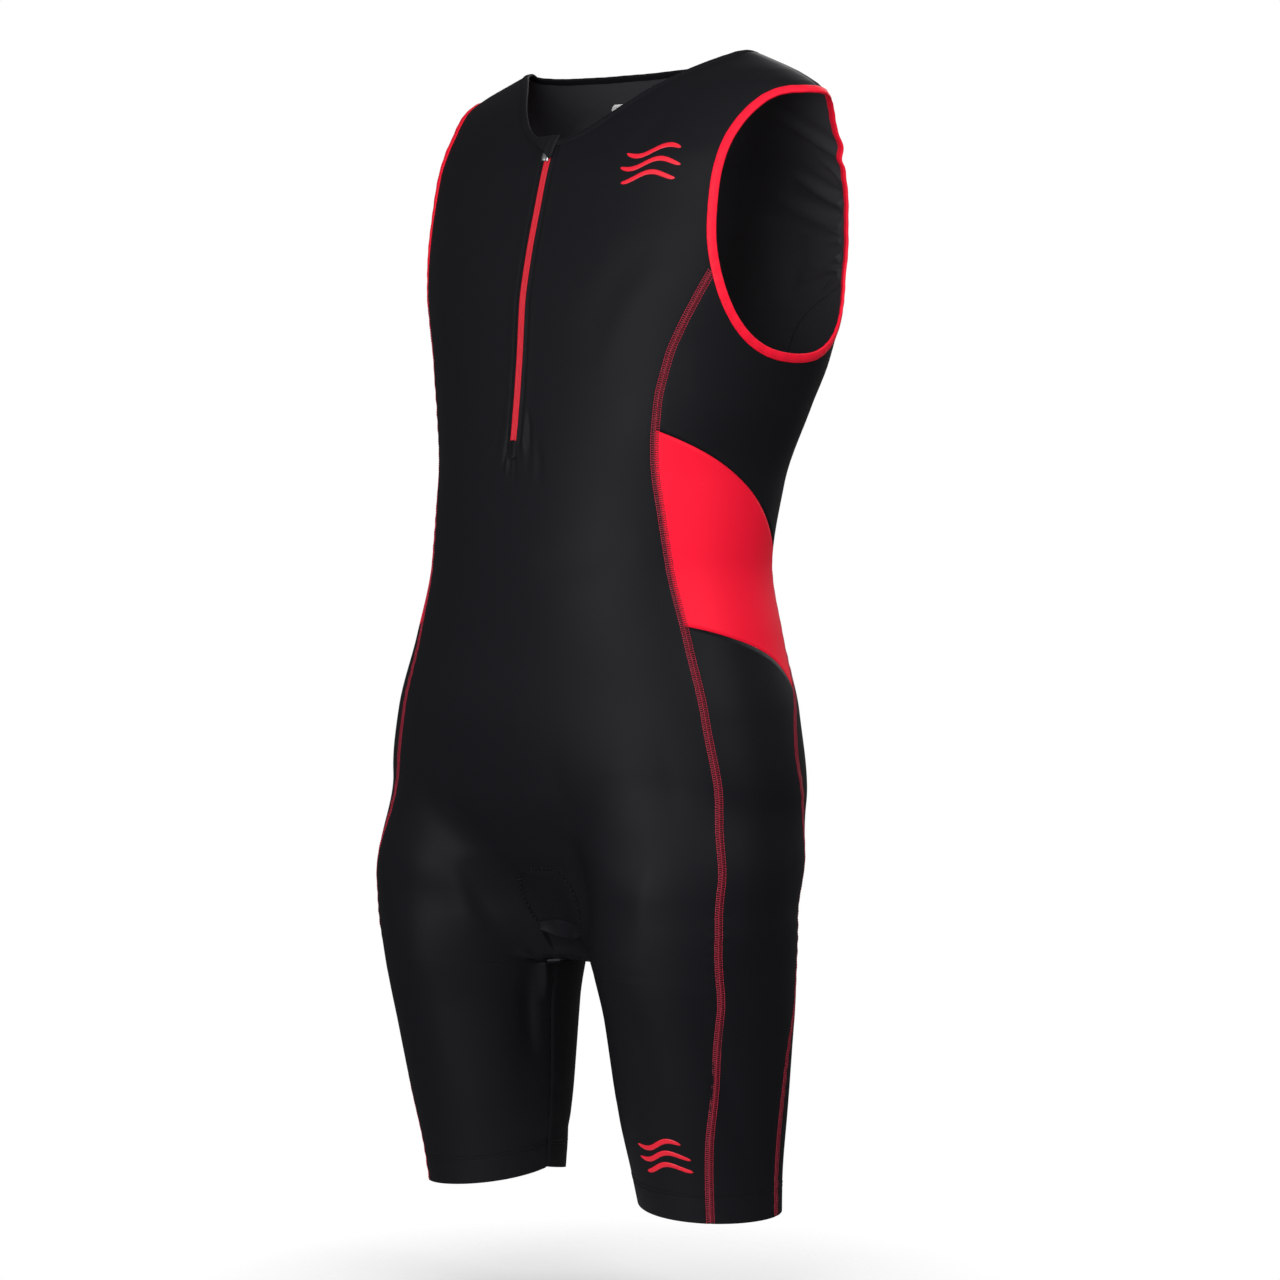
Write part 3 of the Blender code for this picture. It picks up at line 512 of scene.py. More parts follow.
CREASES = (
    # side, way from the front or back middle, way and height of its start and of its end,
    # width, depth (minus for a trough), fade (0: even, more: strongest at the start), bow
    # pulls around the end of the zip
    (RIGHT, FRONT, 0.0062, -0.3000, 0.0100, -0.3290, 0.0017, -0.0017, 0.0, 0.0010),
    (RIGHT, FRONT, 0.0040, -0.3120, 0.0060, -0.3320, 0.0015, 0.0011, 0.0, 0.0000),
    (LEFT, FRONT, 0.0120, -0.2830, 0.0175, -0.3350, 0.0019, -0.0018, 0.0, -0.0012),
    (LEFT, FRONT, 0.0095, -0.2880, 0.0110, -0.3180, 0.0016, 0.0012, 0.0, 0.0000),
    (LEFT, FRONT, 0.0215, -0.3020, 0.0300, -0.3420, 0.0022, -0.0013, 0.0, -0.0015),
    (RIGHT, FRONT, 0.0150, -0.2900, 0.0240, -0.3300, 0.0024, -0.0006, 0.0, 0.0015),
    (RIGHT, FRONT, 0.0010, -0.3240, 0.0030, -0.3420, 0.0015, -0.0008, 1.0, 0.0000),
    (LEFT, FRONT, 0.0030, -0.3230, 0.0060, -0.3440, 0.0015, -0.0007, 1.0, 0.0000),
    # soft drag lines over the chest and below the arms
    (LEFT, FRONT, 0.1180, -0.1500, 0.0600, -0.2350, 0.0140, -0.0009, 0.0, 0.0060),
    (LEFT, FRONT, 0.1250, -0.1750, 0.0750, -0.2650, 0.0120, 0.0008, 0.0, 0.0050),
    (RIGHT, FRONT, 0.1100, -0.1450, 0.0500, -0.2150, 0.0130, -0.0009, 0.0, -0.0050),
    (RIGHT, FRONT, 0.1150, -0.1850, 0.0600, -0.2600, 0.0120, 0.0008, 0.0, -0.0060),
    (LEFT, FRONT, 0.1500, -0.2350, 0.1750, -0.3150, 0.0120, 0.0012, 0.0, 0.0040),
    (RIGHT, FRONT, 0.1480, -0.2400, 0.1700, -0.3200, 0.0120, 0.0011, 0.0, -0.0040),
    (LEFT, FRONT, 0.1050, -0.0480, 0.0800, -0.0950, 0.0110, -0.0008, 0.0, 0.0030),
    (RIGHT, FRONT, 0.0980, -0.0450, 0.0720, -0.0980, 0.0110, -0.0008, 0.0, -0.0030),
    # waist and belly
    (LEFT, FRONT, 0.0300, -0.4020, 0.1150, -0.3850, 0.0130, -0.0008, 0.0, 0.0040),
    (LEFT, FRONT, 0.0200, -0.4350, 0.1050, -0.4260, 0.0120, 0.0007, 0.0, -0.0040),
    (RIGHT, FRONT, 0.0350, -0.3900, 0.1000, -0.3780, 0.0120, -0.0008, 0.0, 0.0050),
    (RIGHT, FRONT, 0.0250, -0.4500, 0.0900, -0.4350, 0.0130, 0.0007, 0.0, 0.0000),
    # hollows from the hips down to the crotch
    (LEFT, FRONT, 0.1050, -0.5600, 0.0500, -0.6300, 0.0120, -0.0012, 0.0, 0.0060),
    (RIGHT, FRONT, 0.1000, -0.5700, 0.0480, -0.6320, 0.0120, -0.0012, 0.0, -0.0060),
    (LEFT, FRONT, 0.0580, -0.6120, 0.0560, -0.7060, 0.0160, -0.0085, 0.0, 0.0030),
    (LEFT, FRONT, 0.0820, -0.6250, 0.0760, -0.7100, 0.0180, -0.0050, 0.0, 0.0030),
    (RIGHT, FRONT, 0.0560, -0.6350, 0.0500, -0.7050, 0.0110, -0.0026, 0.0, -0.0040),
    # the fronts of the hips: filled above, eased below
    (LEFT, FRONT, 0.0600, -0.5800, 0.1500, -0.5650, 0.0300, 0.0036, 0.0, 0.0000),
    (RIGHT, FRONT, 0.0600, -0.5820, 0.1500, -0.5670, 0.0300, 0.0034, 0.0, 0.0000),
    (LEFT, FRONT, 0.0750, -0.6700, 0.1500, -0.6600, 0.0330, -0.0050, 0.0, 0.0000),
    (RIGHT, FRONT, 0.0750, -0.6700, 0.1500, -0.6600, 0.0330, -0.0050, 0.0, 0.0000),
    # hollows down the outsides of the thighs
    (LEFT, FRONT, 0.2150, -0.7300, 0.2050, -0.8800, 0.0120, -0.0026, 0.0, 0.0030),
    (RIGHT, FRONT, 0.2120, -0.7350, 0.2040, -0.8750, 0.0120, -0.0024, 0.0, -0.0030),
    # soft ridges and troughs down the fronts of the thighs and above the hems
    (RIGHT, FRONT, 0.0440, -0.7080, 0.0350, -0.7540, 0.0034, 0.0046, 0.0, 0.0016),
    (RIGHT, FRONT, 0.0520, -0.7140, 0.0440, -0.8050, 0.0070, -0.0036, 0.0, 0.0000),
    (LEFT, FRONT, 0.0480, -0.7240, 0.0440, -0.7900, 0.0055, 0.0010, 0.0, -0.0020),
    (RIGHT, FRONT, 0.0700, -0.7200, 0.0500, -0.8500, 0.0120, -0.0012, 0.0, 0.0060),
    (LEFT, FRONT, 0.1500, -0.7100, 0.1380, -0.8500, 0.0120, -0.0014, 0.0, -0.0040),
    (RIGHT, FRONT, 0.1480, -0.7200, 0.1350, -0.8400, 0.0120, -0.0012, 0.0, 0.0040),
    (LEFT, FRONT, 0.0850, -0.8250, 0.0350, -0.8420, 0.0080, -0.0006, 0.0, 0.0020),
    (RIGHT, FRONT, 0.0300, -0.8300, 0.0850, -0.8450, 0.0080, -0.0006, 0.0, -0.0020),
    (LEFT, FRONT, 0.0150, -0.8620, 0.0450, -0.8800, 0.0060, -0.0008, 0.3, 0.0010),
    (RIGHT, FRONT, 0.0120, -0.8580, 0.0400, -0.8760, 0.0060, -0.0008, 0.3, 0.0010),
    # drags across the back toward the armholes
    (LEFT, BACK, 0.1729, -0.0821, 0.0900, -0.0340, 0.0052, -0.0048, 0.4, -0.0030),
    (LEFT, BACK, 0.1660, -0.0760, 0.0850, -0.0240, 0.0070, 0.0035, 0.5, -0.0030),
    (LEFT, BACK, 0.1605, -0.0972, 0.1300, -0.0800, 0.0026, -0.0022, 0.8, 0.0010),
    (LEFT, BACK, 0.1527, -0.1152, 0.0900, -0.0880, 0.0045, -0.0035, 0.5, -0.0030),
    (LEFT, BACK, 0.1510, -0.1080, 0.1000, -0.0840, 0.0050, 0.0024, 0.6, -0.0020),
    (LEFT, BACK, 0.1495, -0.1327, 0.0600, -0.1030, 0.0060, -0.0035, 0.6, -0.0050),
    (LEFT, BACK, 0.1480, -0.1250, 0.0800, -0.1000, 0.0050, 0.0022, 0.7, -0.0030),
    (LEFT, BACK, 0.1466, -0.1573, 0.0920, -0.1610, 0.0024, -0.0042, 0.9, -0.0050),
    (LEFT, BACK, 0.1466, -0.1618, 0.1180, -0.1640, 0.0018, -0.0029, 0.8, -0.0030),
    (LEFT, BACK, 0.1474, -0.1678, 0.0740, -0.1770, 0.0024, -0.0038, 0.6, 0.0040),
    (LEFT, BACK, 0.1474, -0.1648, 0.0860, -0.1720, 0.0026, 0.0029, 0.6, 0.0030),
    (LEFT, BACK, 0.1480, -0.1735, 0.1150, -0.1840, 0.0024, -0.0026, 0.7, 0.0010),
    (LEFT, BACK, 0.1475, -0.1450, 0.1180, -0.1440, 0.0024, -0.0026, 0.9, 0.0000),
    (LEFT, BACK, 0.1480, -0.1390, 0.1250, -0.1350, 0.0020, -0.0018, 0.9, 0.0000),
    (LEFT, BACK, 0.0560, -0.1200, 0.0420, -0.1750, 0.0100, -0.0029, 0.0, 0.0040),
    (LEFT, BACK, 0.0900, -0.1350, 0.0700, -0.1900, 0.0110, 0.0026, 0.0, 0.0040),
    (RIGHT, BACK, 0.1700, -0.0850, 0.0880, -0.0380, 0.0060, -0.0034, 0.4, 0.0030),
    (RIGHT, BACK, 0.1620, -0.0780, 0.0900, -0.0300, 0.0070, 0.0023, 0.5, 0.0030),
    (RIGHT, BACK, 0.1530, -0.1100, 0.0800, -0.0820, 0.0050, -0.0026, 0.5, 0.0030),
    (RIGHT, BACK, 0.1500, -0.1290, 0.0700, -0.1080, 0.0055, -0.0026, 0.6, 0.0040),
    (RIGHT, BACK, 0.1470, -0.1520, 0.0950, -0.1530, 0.0028, -0.0029, 0.8, 0.0040),
    (RIGHT, BACK, 0.1470, -0.1600, 0.0800, -0.1680, 0.0030, -0.0026, 0.6, -0.0030),
    (RIGHT, BACK, 0.1475, -0.1690, 0.1000, -0.1780, 0.0026, -0.0023, 0.6, 0.0000),
    (RIGHT, BACK, 0.0500, -0.1150, 0.0400, -0.1800, 0.0100, -0.0021, 0.0, -0.0040),
    # slack in the small of the back, under the seat and behind the thighs
    (LEFT, BACK, 0.0100, -0.3580, 0.1000, -0.3480, 0.0100, -0.0022, 0.0, 0.0030),
    (LEFT, BACK, 0.0050, -0.3860, 0.1150, -0.3800, 0.0090, -0.0026, 0.0, -0.0030),
    (LEFT, BACK, 0.0150, -0.4180, 0.1000, -0.4060, 0.0100, -0.0018, 0.0, 0.0040),
    (RIGHT, BACK, 0.0080, -0.3640, 0.1080, -0.3520, 0.0100, -0.0024, 0.0, 0.0020),
    (RIGHT, BACK, 0.0120, -0.3950, 0.0950, -0.3890, 0.0090, -0.0020, 0.0, 0.0030),
    (RIGHT, BACK, 0.0200, -0.4280, 0.1100, -0.4140, 0.0100, -0.0016, 0.0, -0.0030),
    (LEFT, BACK, 0.0200, -0.6850, 0.1050, -0.6700, 0.0080, -0.0026, 0.0, 0.0050),
    (LEFT, BACK, 0.0300, -0.7080, 0.0950, -0.6980, 0.0070, -0.0018, 0.0, 0.0030),
    (RIGHT, BACK, 0.0180, -0.6820, 0.1000, -0.6720, 0.0080, -0.0024, 0.0, 0.0040),
    (RIGHT, BACK, 0.0300, -0.7120, 0.0850, -0.7010, 0.0070, -0.0020, 0.0, 0.0020),
    (LEFT, BACK, 0.0150, -0.8300, 0.0700, -0.8420, 0.0070, -0.0014, 0.0, 0.0030),
    (LEFT, BACK, 0.0400, -0.8600, 0.0950, -0.8520, 0.0060, -0.0012, 0.0, 0.0000),
    (RIGHT, BACK, 0.0200, -0.8350, 0.0750, -0.8250, 0.0070, -0.0014, 0.0, 0.0030),
    (RIGHT, BACK, 0.0350, -0.8620, 0.0850, -0.8680, 0.0060, -0.0010, 0.0, 0.0020),
    (BOTH, BACK, 0.0060, -0.6300, 0.0040, -0.7000, 0.0080, -0.0020, 0.0, 0.0000),
)

# outline of the seat pad on the front: way from the middle, height
PAD_EDGE = np.array([
    (-0.0180, -0.6870),
    (-0.0204, -0.6785),
    (-0.0216, -0.6690),
    (-0.0206, -0.6600),
    (-0.0184, -0.6530),
    (-0.0130, -0.6470),
    (-0.0050, -0.6438),
    (0.0050, -0.6420),
    (0.0190, -0.6415),
    (0.0290, -0.6440),
    (0.0350, -0.6530),
    (0.0372, -0.6640),
    (0.0372, -0.6750),
    (0.0350, -0.6870),
])
# upper and lower line of the fold under the pad: ways from the middle, heights
LIP_TOP = ((-0.020, -0.0164, 0.0, 0.0164, 0.030), (-0.6895, -0.6880, -0.6846, -0.6862, -0.6885))
LIP_LOW = ((-0.020, -0.0144, -0.001, 0.0164, 0.030), (-0.6905, -0.6915, -0.6955, -0.6965, -0.6950))
LIP_DEEP = 0.0052
LIP_HOLLOW = 0.0050
# height of the seat pad's upper edge
PAD_TOP = -0.6420
# height of the band of double cloth at the hem
HEM_BAND = 0.0200
# heights below which the lengthwise seams and the hems shape the cloth
SEAM_TOP = -0.17
HEM_ZONE = -0.80
# distance of the zip's topstitching from the front middle
ZIP_STITCH = 0.0068
# half of what a ring loses in length where it parts into two legs
CROTCH_HALF = float(ring_length(CROTCH_Z + 4e-6) - ring_length(CROTCH_Z - 4e-6)) / 2


def smooth_step(t):
    """Even S curve from 0 to 1: 3 t squared less 2 t cubed, with t held between 0 and 1."""
    t = np.clip(t, 0.0, 1.0)
    return t * t * (3 - 2 * t)


def creases(side, front_way, back_way, z):
    """Sum of soft troughs and ridges.

    Each is a bell curve of the distance from a bowed line, exp(-(distance / width) squared),
    times its depth, times a swell along the line, and it dies away past the line's ends.
    """
    total = np.zeros_like(z)
    for place, base, w0, z0, w1, z1, width, depth, fade, bow in CREASES:
        if place and place != side:
            continue
        way = front_way if base == FRONT else back_way
        long = math.hypot(w1 - w0, z1 - z0)
        dw = (w1 - w0) / long
        dz = (z1 - z0) / long
        t = ((way - w0) * dw + (z - z0) * dz) / long
        held = np.clip(t, 0.0, 1.0)
        off = (way - w0) * dz - (z - z0) * dw - 4 * bow * held * (1 - held)
        past = (t - held) * long
        swell = np.sin(math.pi * held) ** 0.8 if fade == 0 else (1 - held) ** fade
        total += depth * swell * np.exp(-(off / width) ** 2 - (past / width) ** 2)
    return total * bpy.context.scene.suit_cloth.folds


def inside_pad(way, z):
    """1 inside the pad's outline and 0 outside, softened over 2 mm across the outline."""
    left = np.interp(-z, -PAD_EDGE[6::-1, 1], PAD_EDGE[6::-1, 0])
    right = np.interp(-z, -PAD_EDGE[8:, 1], PAD_EDGE[8:, 0])
    return (smooth_step((way - left) / 0.002 + 0.5) * smooth_step((right - way) / 0.002 + 0.5)
            * smooth_step((PAD_TOP - z) / 0.003))


def relief(share, z, side):
    """How far the cloth stands off the plain form: creases, seams, pad, lip, hems and zip edges.

    Grooves and rolls are bell curves of the distance to their line, exp(-(distance / width)
    squared), and raised patches are smooth steps across their outline.
    """
    length = ring_length(z)
    leg = z <= CROTCH_Z
    start = np.where(leg, CROTCH_HALF, 0.0)
    front_way = start + np.where(leg & (share > 0.5), share - 1, share) * length
    back_way = start + np.where(leg & (share <= 0.5), -share, 1 - share) * length
    # creases, which fade out at the crotch, where the two legs' fronts meet
    beyond = np.maximum(front_way - CROTCH_HALF, 0)
    near = np.exp(-((z - CROTCH_Z) / 0.006) ** 2 - (beyond / 0.007) ** 2)
    out = creases(side, front_way, back_way, z) * (1 - near * (share < 0.3))
    # lengthwise seams: a narrow groove and a ripple of the cloth beside it
    ripple = np.sin(2 * math.pi * z / 0.0113 + 1.9 * np.sin(z * 37)) * (0.6 + 0.4 * np.sin(z * 61))
    for table in (FRONT_SEAM, BACK_SEAM):
        off = (share - seam_share(table, z, side)) * length
        out = out + (z < SEAM_TOP) * (0.00022 * ripple * np.exp(-(off / 0.0075) ** 2)
                                      - 0.00035 * np.exp(-(off / 0.0030) ** 2))
    # seat pad
    above = z > CROTCH_Z
    on_front = above & (share < 0.30)
    signed = front_way * side
    out = out + on_front * 0.0011 * inside_pad(signed, z) * smooth_step((z - CROTCH_Z) / 0.010)
    # the lip under the pad: a ramp that grows downward, drops off sharply and leaves a hollow below
    top = np.interp(signed, *LIP_TOP)
    low = np.interp(signed, *LIP_LOW)
    down = np.clip((top - z) / (top - low), 0, 1) ** 1.2
    under = np.maximum(low - z, 0)
    ramp = LIP_DEEP * down * np.exp(-(under / 0.0011) ** 2)
    hollow = LIP_HOLLOW * (1 - np.exp(-(under / 0.0018) ** 2)) * np.exp(-(under / 0.030) ** 4)
    sides = smooth_step((signed + 0.0195) / 0.003) * smooth_step((0.0300 - signed) / 0.008)
    hollow = hollow * smooth_step((z - CROTCH_Z - 0.0002) / 0.0140)
    out = out + on_front * sides * (ramp - hollow - 0.0008 * np.exp(-((z - top - 0.0006) / 0.0011) ** 2))
    # inseam: the two edges dip toward each other
    inner = np.minimum(share, 1 - share) * length
    out = out - leg * 0.0007 * np.exp(-(inner / 0.0016) ** 2)
    # hems: double cloth up to a stitched line
    rise = z - hem_height(share)
    out = out + (z < HEM_ZONE) * (0.00012 * smooth_step((HEM_BAND - rise) / 0.0015)
                                  - 0.00006 * np.exp(-((rise - HEM_BAND) / 0.0014) ** 2))
    # zip edges: a soft roll beside the slit, a stitched groove and a low swell, all slightly wavy
    beside = np.abs(front_way - ZIP_SLIT_HALF)
    zip_part = above & (share < 0.2) & (z < -0.070)
    fade = smooth_step((z - ZIP_END + 0.012) / 0.010)
    out = out + zip_part * fade * (0.0006 * np.exp(-(beside / 0.0013) ** 2)
                                   - 0.0004 * np.exp(-((front_way - ZIP_STITCH) / 0.0011) ** 2)
                                   + 0.0003 * np.exp(-((front_way - 0.0095) / 0.0030) ** 2))
    wave = np.sin(z / 0.0052 + 2.0 * np.sin(z * 23)) * np.exp(-((front_way - 0.011) / 0.006) ** 2)
    return out + zip_part * fade * 0.00018 * wave


def on_form(share, z, side):
    """Points of the plain form, with x on the given side, and normals.

    Two Newton steps move each point by -value * slope / slope squared to the form's zero level.
    """
    p = skin(share, z)
    step = 2e-4
    for _ in range(2):
        x, y = p[..., 0], p[..., 1]
        gx = (field(x + step, y, z) - field(x - step, y, z)) / (2 * step)
        gy = (field(x, y + step, z) - field(x, y - step, z)) / (2 * step)
        gx = np.where(x < 1e-6, 0.0, gx)
        flat = np.maximum(gx * gx + gy * gy, 0.15)
        move = np.where(flat > 0.15, np.clip(-field(x, y, z), -0.001, 0.001) / flat, 0.0)
        p[..., 0] = np.maximum(x + move * gx, 0.0)
        p[..., 1] = y + move * gy
    n = outward(p)
    n[..., 0] = np.where(p[..., 0] < 1e-6, 0.0, n[..., 0])
    flip = np.array([side, 1, 1])
    return p * flip, n * flip


def cloth(share, z, side, out=0.0):
    """Points of the cloth's face: the form moved out by the relief and by `out`, and normals."""
    share, z = np.broadcast_arrays(np.asarray(share, float), np.asarray(z, float))
    p, n = on_form(share, z, side)
    lift = relief(share, z, side) + out
    return p + n * lift[..., None], n


def fill_mesh(name, points, loops, sizes, smooth, uv=None, which=None):
    """Mesh object from whole arrays: points, corners, corners per face, smooth flags, UVs, materials."""
    mesh = bpy.data.meshes.new(name)
    mesh.vertices.add(len(points))
    mesh.vertices.foreach_set("co", np.asarray(points, np.float32).ravel())
    mesh.loops.add(len(loops))
    mesh.loops.foreach_set("vertex_index", np.asarray(loops, np.int32))
    mesh.polygons.add(len(sizes))
    starts = np.concatenate([[0], np.cumsum(sizes)[:-1]])
    mesh.polygons.foreach_set("loop_start", starts.astype(np.int32))
    mesh.polygons.foreach_set("loop_total", np.asarray(sizes, np.int32))
    mesh.polygons.foreach_set("use_smooth", np.asarray(smooth, bool))
    if uv is not None:
        layer = mesh.uv_layers.new(name="UVMap")
        layer.data.foreach_set("uv", np.asarray(uv, np.float32)[np.asarray(loops)].ravel())
    if which is not None:
        mesh.polygons.foreach_set("material_index", np.asarray(which, np.int32))
    mesh.update(calc_edges=True)
    mesh.validate(verbose=False)
    obj = bpy.data.objects.new(name, mesh)
    bpy.context.scene.collection.objects.link(obj)
    return obj


def grid_quads(rows, columns, around=False, ends=False):
    """Corner numbers of a grid's quads, closed round its columns or its rows if told."""
    i = np.arange(rows if ends else rows - 1)[:, None]
    j = np.arange(columns if around else columns - 1)[None, :]
    below = (i + 1) % rows
    right = (j + 1) % columns
    corners = [i * columns + j, i * columns + right, below * columns + right, below * columns + j]
    return np.stack(corners, -1).reshape(-1, 4)


def shell(name, grids, wall=WALL, out=0.0):
    """Closed thin wall from grids of (share, height, side): an outer sheet, the same sheet moved
    inward by the wall, and a rim. Points shared by grids are joined. The inner sheet's faces take
    the second material.
    """
    points = []
    normals = []
    uvs = []
    quads = []
    start = 0
    for share, z, side in grids:
        p, n = cloth(share, z, side, out)
        points.append(p.reshape(-1, 3))
        normals.append(n.reshape(-1, 3))
        uvs.append(np.stack([side * share * ring_length(z), z], -1).reshape(-1, 2))
        q = grid_quads(*share.shape) + start
        quads.append(q if side > 0 else q[:, ::-1])
        start += share.size
    points = np.concatenate(points)
    normals = np.concatenate(normals)
    uvs = np.concatenate(uvs)
    quads = np.concatenate(quads)
    key = np.round(points / 2e-6).astype(np.int64)
    _, first, back = np.unique(key, axis=0, return_index=True, return_inverse=True)
    back = back.reshape(-1)
    points, normals, uvs = points[first], normals[first], uvs[first]
    quads = back[quads]
    same = quads == np.roll(quads, 1, axis=1)
    quads = quads[same.sum(1) < 2]
    same = quads == np.roll(quads, 1, axis=1)
    whole = quads[~same.any(1)]
    thin = quads[same.any(1)]
    tris = np.array([row[~flag] for row, flag in zip(thin, same[same.any(1)])], int).reshape(-1, 3)
    count = len(points)
    edges = np.concatenate([np.stack([faces, np.roll(faces, -1, axis=1)], -1).reshape(-1, 2)
                            for faces in (whole, tris)])
    code = edges[:, 0] * count + edges[:, 1]
    open_edge = edges[~np.isin(code, edges[:, 1] * count + edges[:, 0])]
    a, b = open_edge[:, 0], open_edge[:, 1]
    rim = np.stack([b, a, a + count, b + count], -1)
    loops = np.concatenate([whole.ravel(), tris.ravel(), (whole[:, ::-1] + count).ravel(),
                            (tris[:, ::-1] + count).ravel(), rim.ravel()])
    # faces of each kind, their corners and whether they are smooth
    kinds = ((len(whole), 4, 1), (len(tris), 3, 1), (len(whole), 4, 1), (len(tris), 3, 1),
             (len(rim), 4, 0))
    sizes = np.concatenate([np.full(k, c) for k, c, _ in kinds])
    smooth = np.concatenate([np.full(k, s, bool) for k, _, s in kinds])
    both = np.concatenate([points, points - normals * wall])
    within = np.concatenate([np.full(k, w) for (k, _, _), w in zip(kinds, (0, 0, 1, 1, 0))])
    return fill_mesh(name, both, loops, sizes, smooth, np.concatenate([uvs, uvs]), within)


def dress(obj, material, slot, *nodes):
    """Give a piece its material (or outer and inner ones), its body and its solids; its slot is not used.
    """
    for one in material if isinstance(material, tuple) else (material,):
        obj.data.materials.append(one)
    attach(obj, "root")
    if nodes:
        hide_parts(*nodes)


# grids of the cut pieces


def spread(rows, power=1.0):
    """Even steps from 0 to 1, raised to a power to crowd them near 0."""
    return np.linspace(0, 1, rows) ** power


def crowded(columns):
    """Steps from 0 to 1 that lie closer together near both ends."""
    t = np.linspace(0, 1, columns)
    return 0.55 * t + 0.45 * (0.5 - 0.5 * np.cos(math.pi * t))


def inset(edge, way):
    """Move the points of a lengthwise edge along the ring by half a seam gap."""
    moved = edge.copy()
    moved[:, 0] += way * 0.5 * SEAM_GAP / ring_length(edge[:, 1])
    return moved


def seam_line(table, heights, side):
    """Points (share, height) of a lengthwise seam."""
    return np.stack([seam_share(table, heights, side), heights], -1)


def across(left, right, steps):
    """Grid of rows from the left points to the right ones."""
    s = steps[None, :, None]
    return left[:, None] * (1 - s) + right[:, None] * s


def coons(top, low, left, right, down, steps):
    """Patch between four edges: both ruled surfaces less the one through the corners."""
    r = down[:, None, None]
    c = steps[None, :, None]
    ruled = (1 - r) * top[None] + r * low[None] + (1 - c) * left[:, None] + c * right[:, None]
    return ruled - (1 - r) * ((1 - c) * top[0] + c * top[-1]) - r * ((1 - c) * low[0] + c * low[-1])


# fractions of the way at which rows and columns lie, closer together where the cloth is shaped
TIP_Z = CROTCH_Z + 4e-6
LEG_WAY = np.concatenate([0.87 * spread(52)[1:] ** 1.7, 0.87 + 0.13 * spread(23)[1:]])
THIGH_WAY = np.concatenate([0.696 * spread(43)[:-1], 0.696 + 0.154 * spread(23)[:-1],
                            0.850 + 0.074 * spread(25)[:-1], 1 - 0.076 * (1 - spread(24)) ** 1.8])
UPPER_WAY = spread(44, 1.35)
WAIST_WAY = spread(42)
FRONT_COLUMNS = np.concatenate([0.11 * spread(21)[:-1], 0.11 + 0.82 * spread(36)[:-1],
                                0.93 + 0.07 * spread(9)])
BACK_COLUMNS = np.concatenate([0.40 * spread(31)[:-1], 0.40 + 0.60 * spread(30)])
SIDE_COLUMNS = crowded(50)


def leg_rows(table, side):
    """Points of a lengthwise seam below the crotch, one per leg row."""
    z = CROTCH_Z + LEG_WAY * (HEM_HEIGHT - CROTCH_Z)
    for _ in range(6):
        z = CROTCH_Z + LEG_WAY * (hem_height(seam_share(table, z, side)) - CROTCH_Z)
    return np.stack([seam_share(table, z, side), z], -1)


def leg_grid(first, last, steps):
    """Rows of a leg, each at its fraction of the way from crotch to hem."""
    grid = across(first, last, steps)
    grid[..., 1] = CROTCH_Z + LEG_WAY[:, None] * (hem_height(grid[..., 0]) - CROTCH_Z)
    return grid


def body_heights(start, waist, thigh):
    """Heights of one seam's rows from the armhole to the crotch."""
    upper = start + (waist - start) * UPPER_WAY
    middle = waist + (thigh - waist) * WAIST_WAY[1:]
    lower = thigh + (TIP_Z - thigh) * THIGH_WAY[1:]
    return upper, middle, lower


FRONT_HEIGHTS = body_heights(ARMHOLE[FRONT_SEAM_KNOT, 1], WAIST_TOP[0, 1], WAIST_LOW[0, 1])
BACK_HEIGHTS = body_heights(ARMHOLE[BACK_SEAM_KNOT, 1], WAIST_TOP[-1, 1], WAIST_LOW[-1, 1])

NECK_ROWS = 36
NECK_WAY = spread(NECK_ROWS + 1)
neck_table = np.column_stack([np.linspace(1, 0, len(NECKLINE_FRONT)), NECKLINE_FRONT])
neck_z, neck_x = follow(neck_table, NECK_WAY)
neck_x = np.maximum(neck_x, ZIP_SLIT_HALF)
NECK_FRONT_EDGE = np.stack([share_at_width(neck_x, neck_z), neck_z], -1)
NECK_FRONT_EDGE[0] = (widest(0.0), 0.0)
NECK_BACK_EDGE = np.stack([widest(0.0) + (1 - widest(0.0)) * NECK_WAY,
                           -NECKLINE_BACK_DROP * 1.15 * NECK_WAY / (NECK_WAY + 0.15)], -1)


# heights at the back middle of the rows that start at the armhole's points 21 to 25
BACK_MIDDLE = (-0.178, -0.125, -0.075, -0.035, NECK_BACK_EDGE[-1, 1])


def slit_share(z):
    """Share of the zip slit's edge."""
    return ZIP_SLIT_HALF / ring_length(z)


